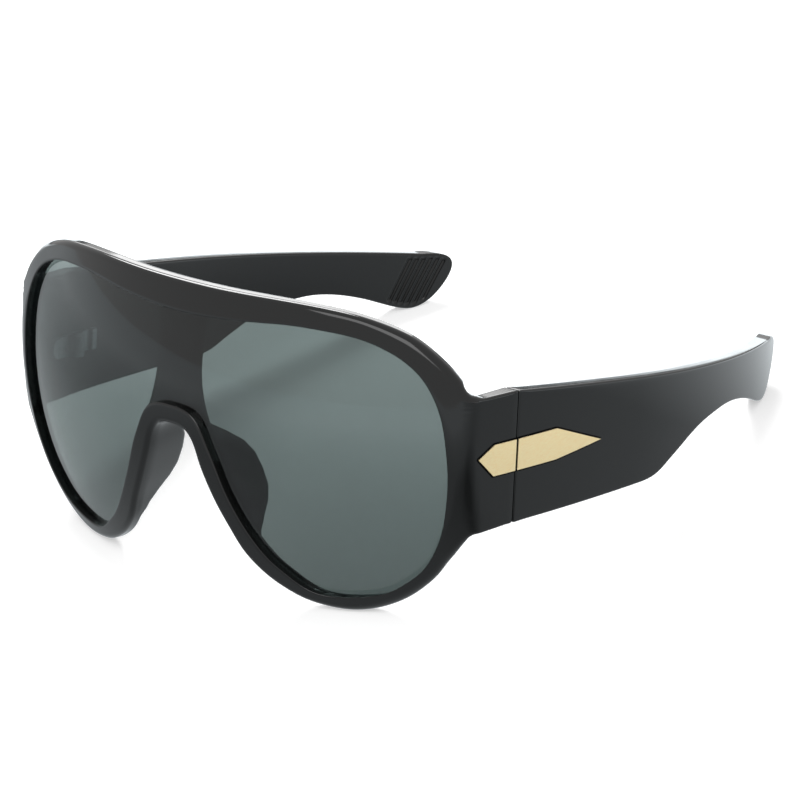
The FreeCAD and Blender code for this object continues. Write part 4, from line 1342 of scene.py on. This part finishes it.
@dataclass(frozen=True)
class Studio:
    """White table, soft boxes and the camera of the photograph, in millimetres."""

    camera_place: tuple[float, float, float] = (683.9, -773.39, 502.19)
    camera_right: tuple[float, float, float] = (0.77198, 0.63008, -0.08397)
    camera_up: tuple[float, float, float] = (-0.21198, 0.37973, 0.90048)
    camera_back: tuple[float, float, float] = (0.59926, -0.67735, 0.42671)
    focal_length: float = 211.4
    sensor: float = 36.0
    clip: tuple[float, float] = (10.0, 100000.0)
    table_half: float = 3000.0
    # Level of the surroundings for light on matt surfaces, and to the eye, in glass and in reflections
    world_levels: tuple[float, float] = (0.5, 1.0)
    boxes: tuple[SoftBox, ...] = (
        SoftBox("key_box", (-500, 420, 700), (0, 0, 30), (500, 400), 9.0),
        SoftBox("fill_box", (300, -600, 650), (0, 0, 30), (700, 500), 4.0),
        SoftBox("back_panel", (-285, 350, 148), (20, -70, 90), (330, 54), 0.17, lights_matt=False))

    def camera(self) -> None:
        """Sets up the camera at the angle of the photograph."""
        data = bpy.data.cameras.new("camera")
        data.lens, data.sensor_width = self.focal_length, self.sensor
        data.clip_start, data.clip_end = self.clip[0] * MM, self.clip[1] * MM
        obj = bpy.data.objects.new("camera", data)
        bpy.context.scene.collection.objects.link(obj)
        columns = Matrix((self.camera_right, self.camera_up, self.camera_back)).transposed()
        obj.matrix_world = Matrix.Translation(Vector(self.camera_place) * MM) @ columns.to_4x4()
        bpy.context.scene.camera = obj

    def world(self) -> None:
        """White surroundings to the eye, in glass and in reflections; a softer light elsewhere."""
        world = bpy.data.worlds.new("studio")
        world.use_nodes = True
        bpy.context.scene.world = world
        tree = world.node_tree
        tree.nodes.clear()
        path = tree.nodes.new("ShaderNodeLightPath")
        seen = add_node(tree, "ShaderNodeMath", {"operation": "MAXIMUM"},
                        i0=path.outputs["Is Camera Ray"], i1=path.outputs["Is Transmission Ray"])
        seen = add_node(tree, "ShaderNodeMath", {"operation": "MAXIMUM"},
                        i0=seen.outputs[0], i1=path.outputs["Is Glossy Ray"])
        strength = add_node(tree, "ShaderNodeMapRange", i0=seen.outputs[0], To_Min=self.world_levels[0],
                            To_Max=self.world_levels[1])
        back = add_node(tree, "ShaderNodeBackground", Color=(1, 1, 1, 1), Strength=strength.outputs[0])
        out = tree.nodes.new("ShaderNodeOutputWorld")
        tree.links.new(back.outputs[0], out.inputs[0])

    def floor(self) -> None:
        """Lays a wide pale table under the object."""
        half = self.table_half * MM
        mesh = bpy.data.meshes.new("table")
        mesh.from_pydata([(-half, -half, 0), (half, -half, 0), (half, half, 0), (-half, half, 0)], [],
                         [(0, 1, 2, 3)])
        obj = bpy.data.objects.new("table", mesh)
        bpy.context.scene.collection.objects.link(obj)
        dress(obj, WhiteTable().build())

    def build(self) -> None:
        """Sets up everything around the object."""
        self.camera()
        self.world()
        self.floor()
        for box in self.boxes:
            box.build()


def main() -> None:
    logging.basicConfig(level=logging.INFO)
    bpy.context.scene.view_settings.view_transform = "Standard"
    plastic, lens = GlossPlastic().build(), TintedLens().build()
    finishes = {
        Slot.PLASTIC: plastic, Slot.LENS: lens,
        # Stamped steel, brushed: cool grey with soft streaks along the grain
        Slot.STEEL: GrainedMetal("brushed_steel", light="#c6c7c9", dark="#8f9092", polish=(0.22, 0.38),
                                 line_mm=0.12, long_mm=2.5).build(),
        # Rolled brass, satin: a pale gold that stays even all over the plate
        Slot.BRASS: GrainedMetal("satin_brass", light="#ffecbe", dark="#fce0aa", polish=(0.44, 0.52),
                                 line_mm=0.1, long_mm=6.0).build(),
    }
    for row in frame["record"]["subparts"]:
        dress(frame["nodes"][row["node"]], finishes[Slot(row["material_slot"])])
    # Painted shade: a near-black tube round each inlay plate stands in for the shade in the gap
    gap_shade = GapShadeBlack().build()
    shade_beads = [(InlayShadeBead(side, ahead), gap_shade) for side in Side for ahead in (True, False)]
    for piece, finish in [(FrontFrame(), plastic), (ShieldLens(), lens), (Temple(Side.LEFT), plastic),
                          (Temple(Side.RIGHT), plastic)] + shade_beads:
        obj = piece.build(finish)
        LOG.info("%s: %d faces", obj.name, len(obj.data.polygons))
    Studio().build()


if __name__ == "__main__":
    main()
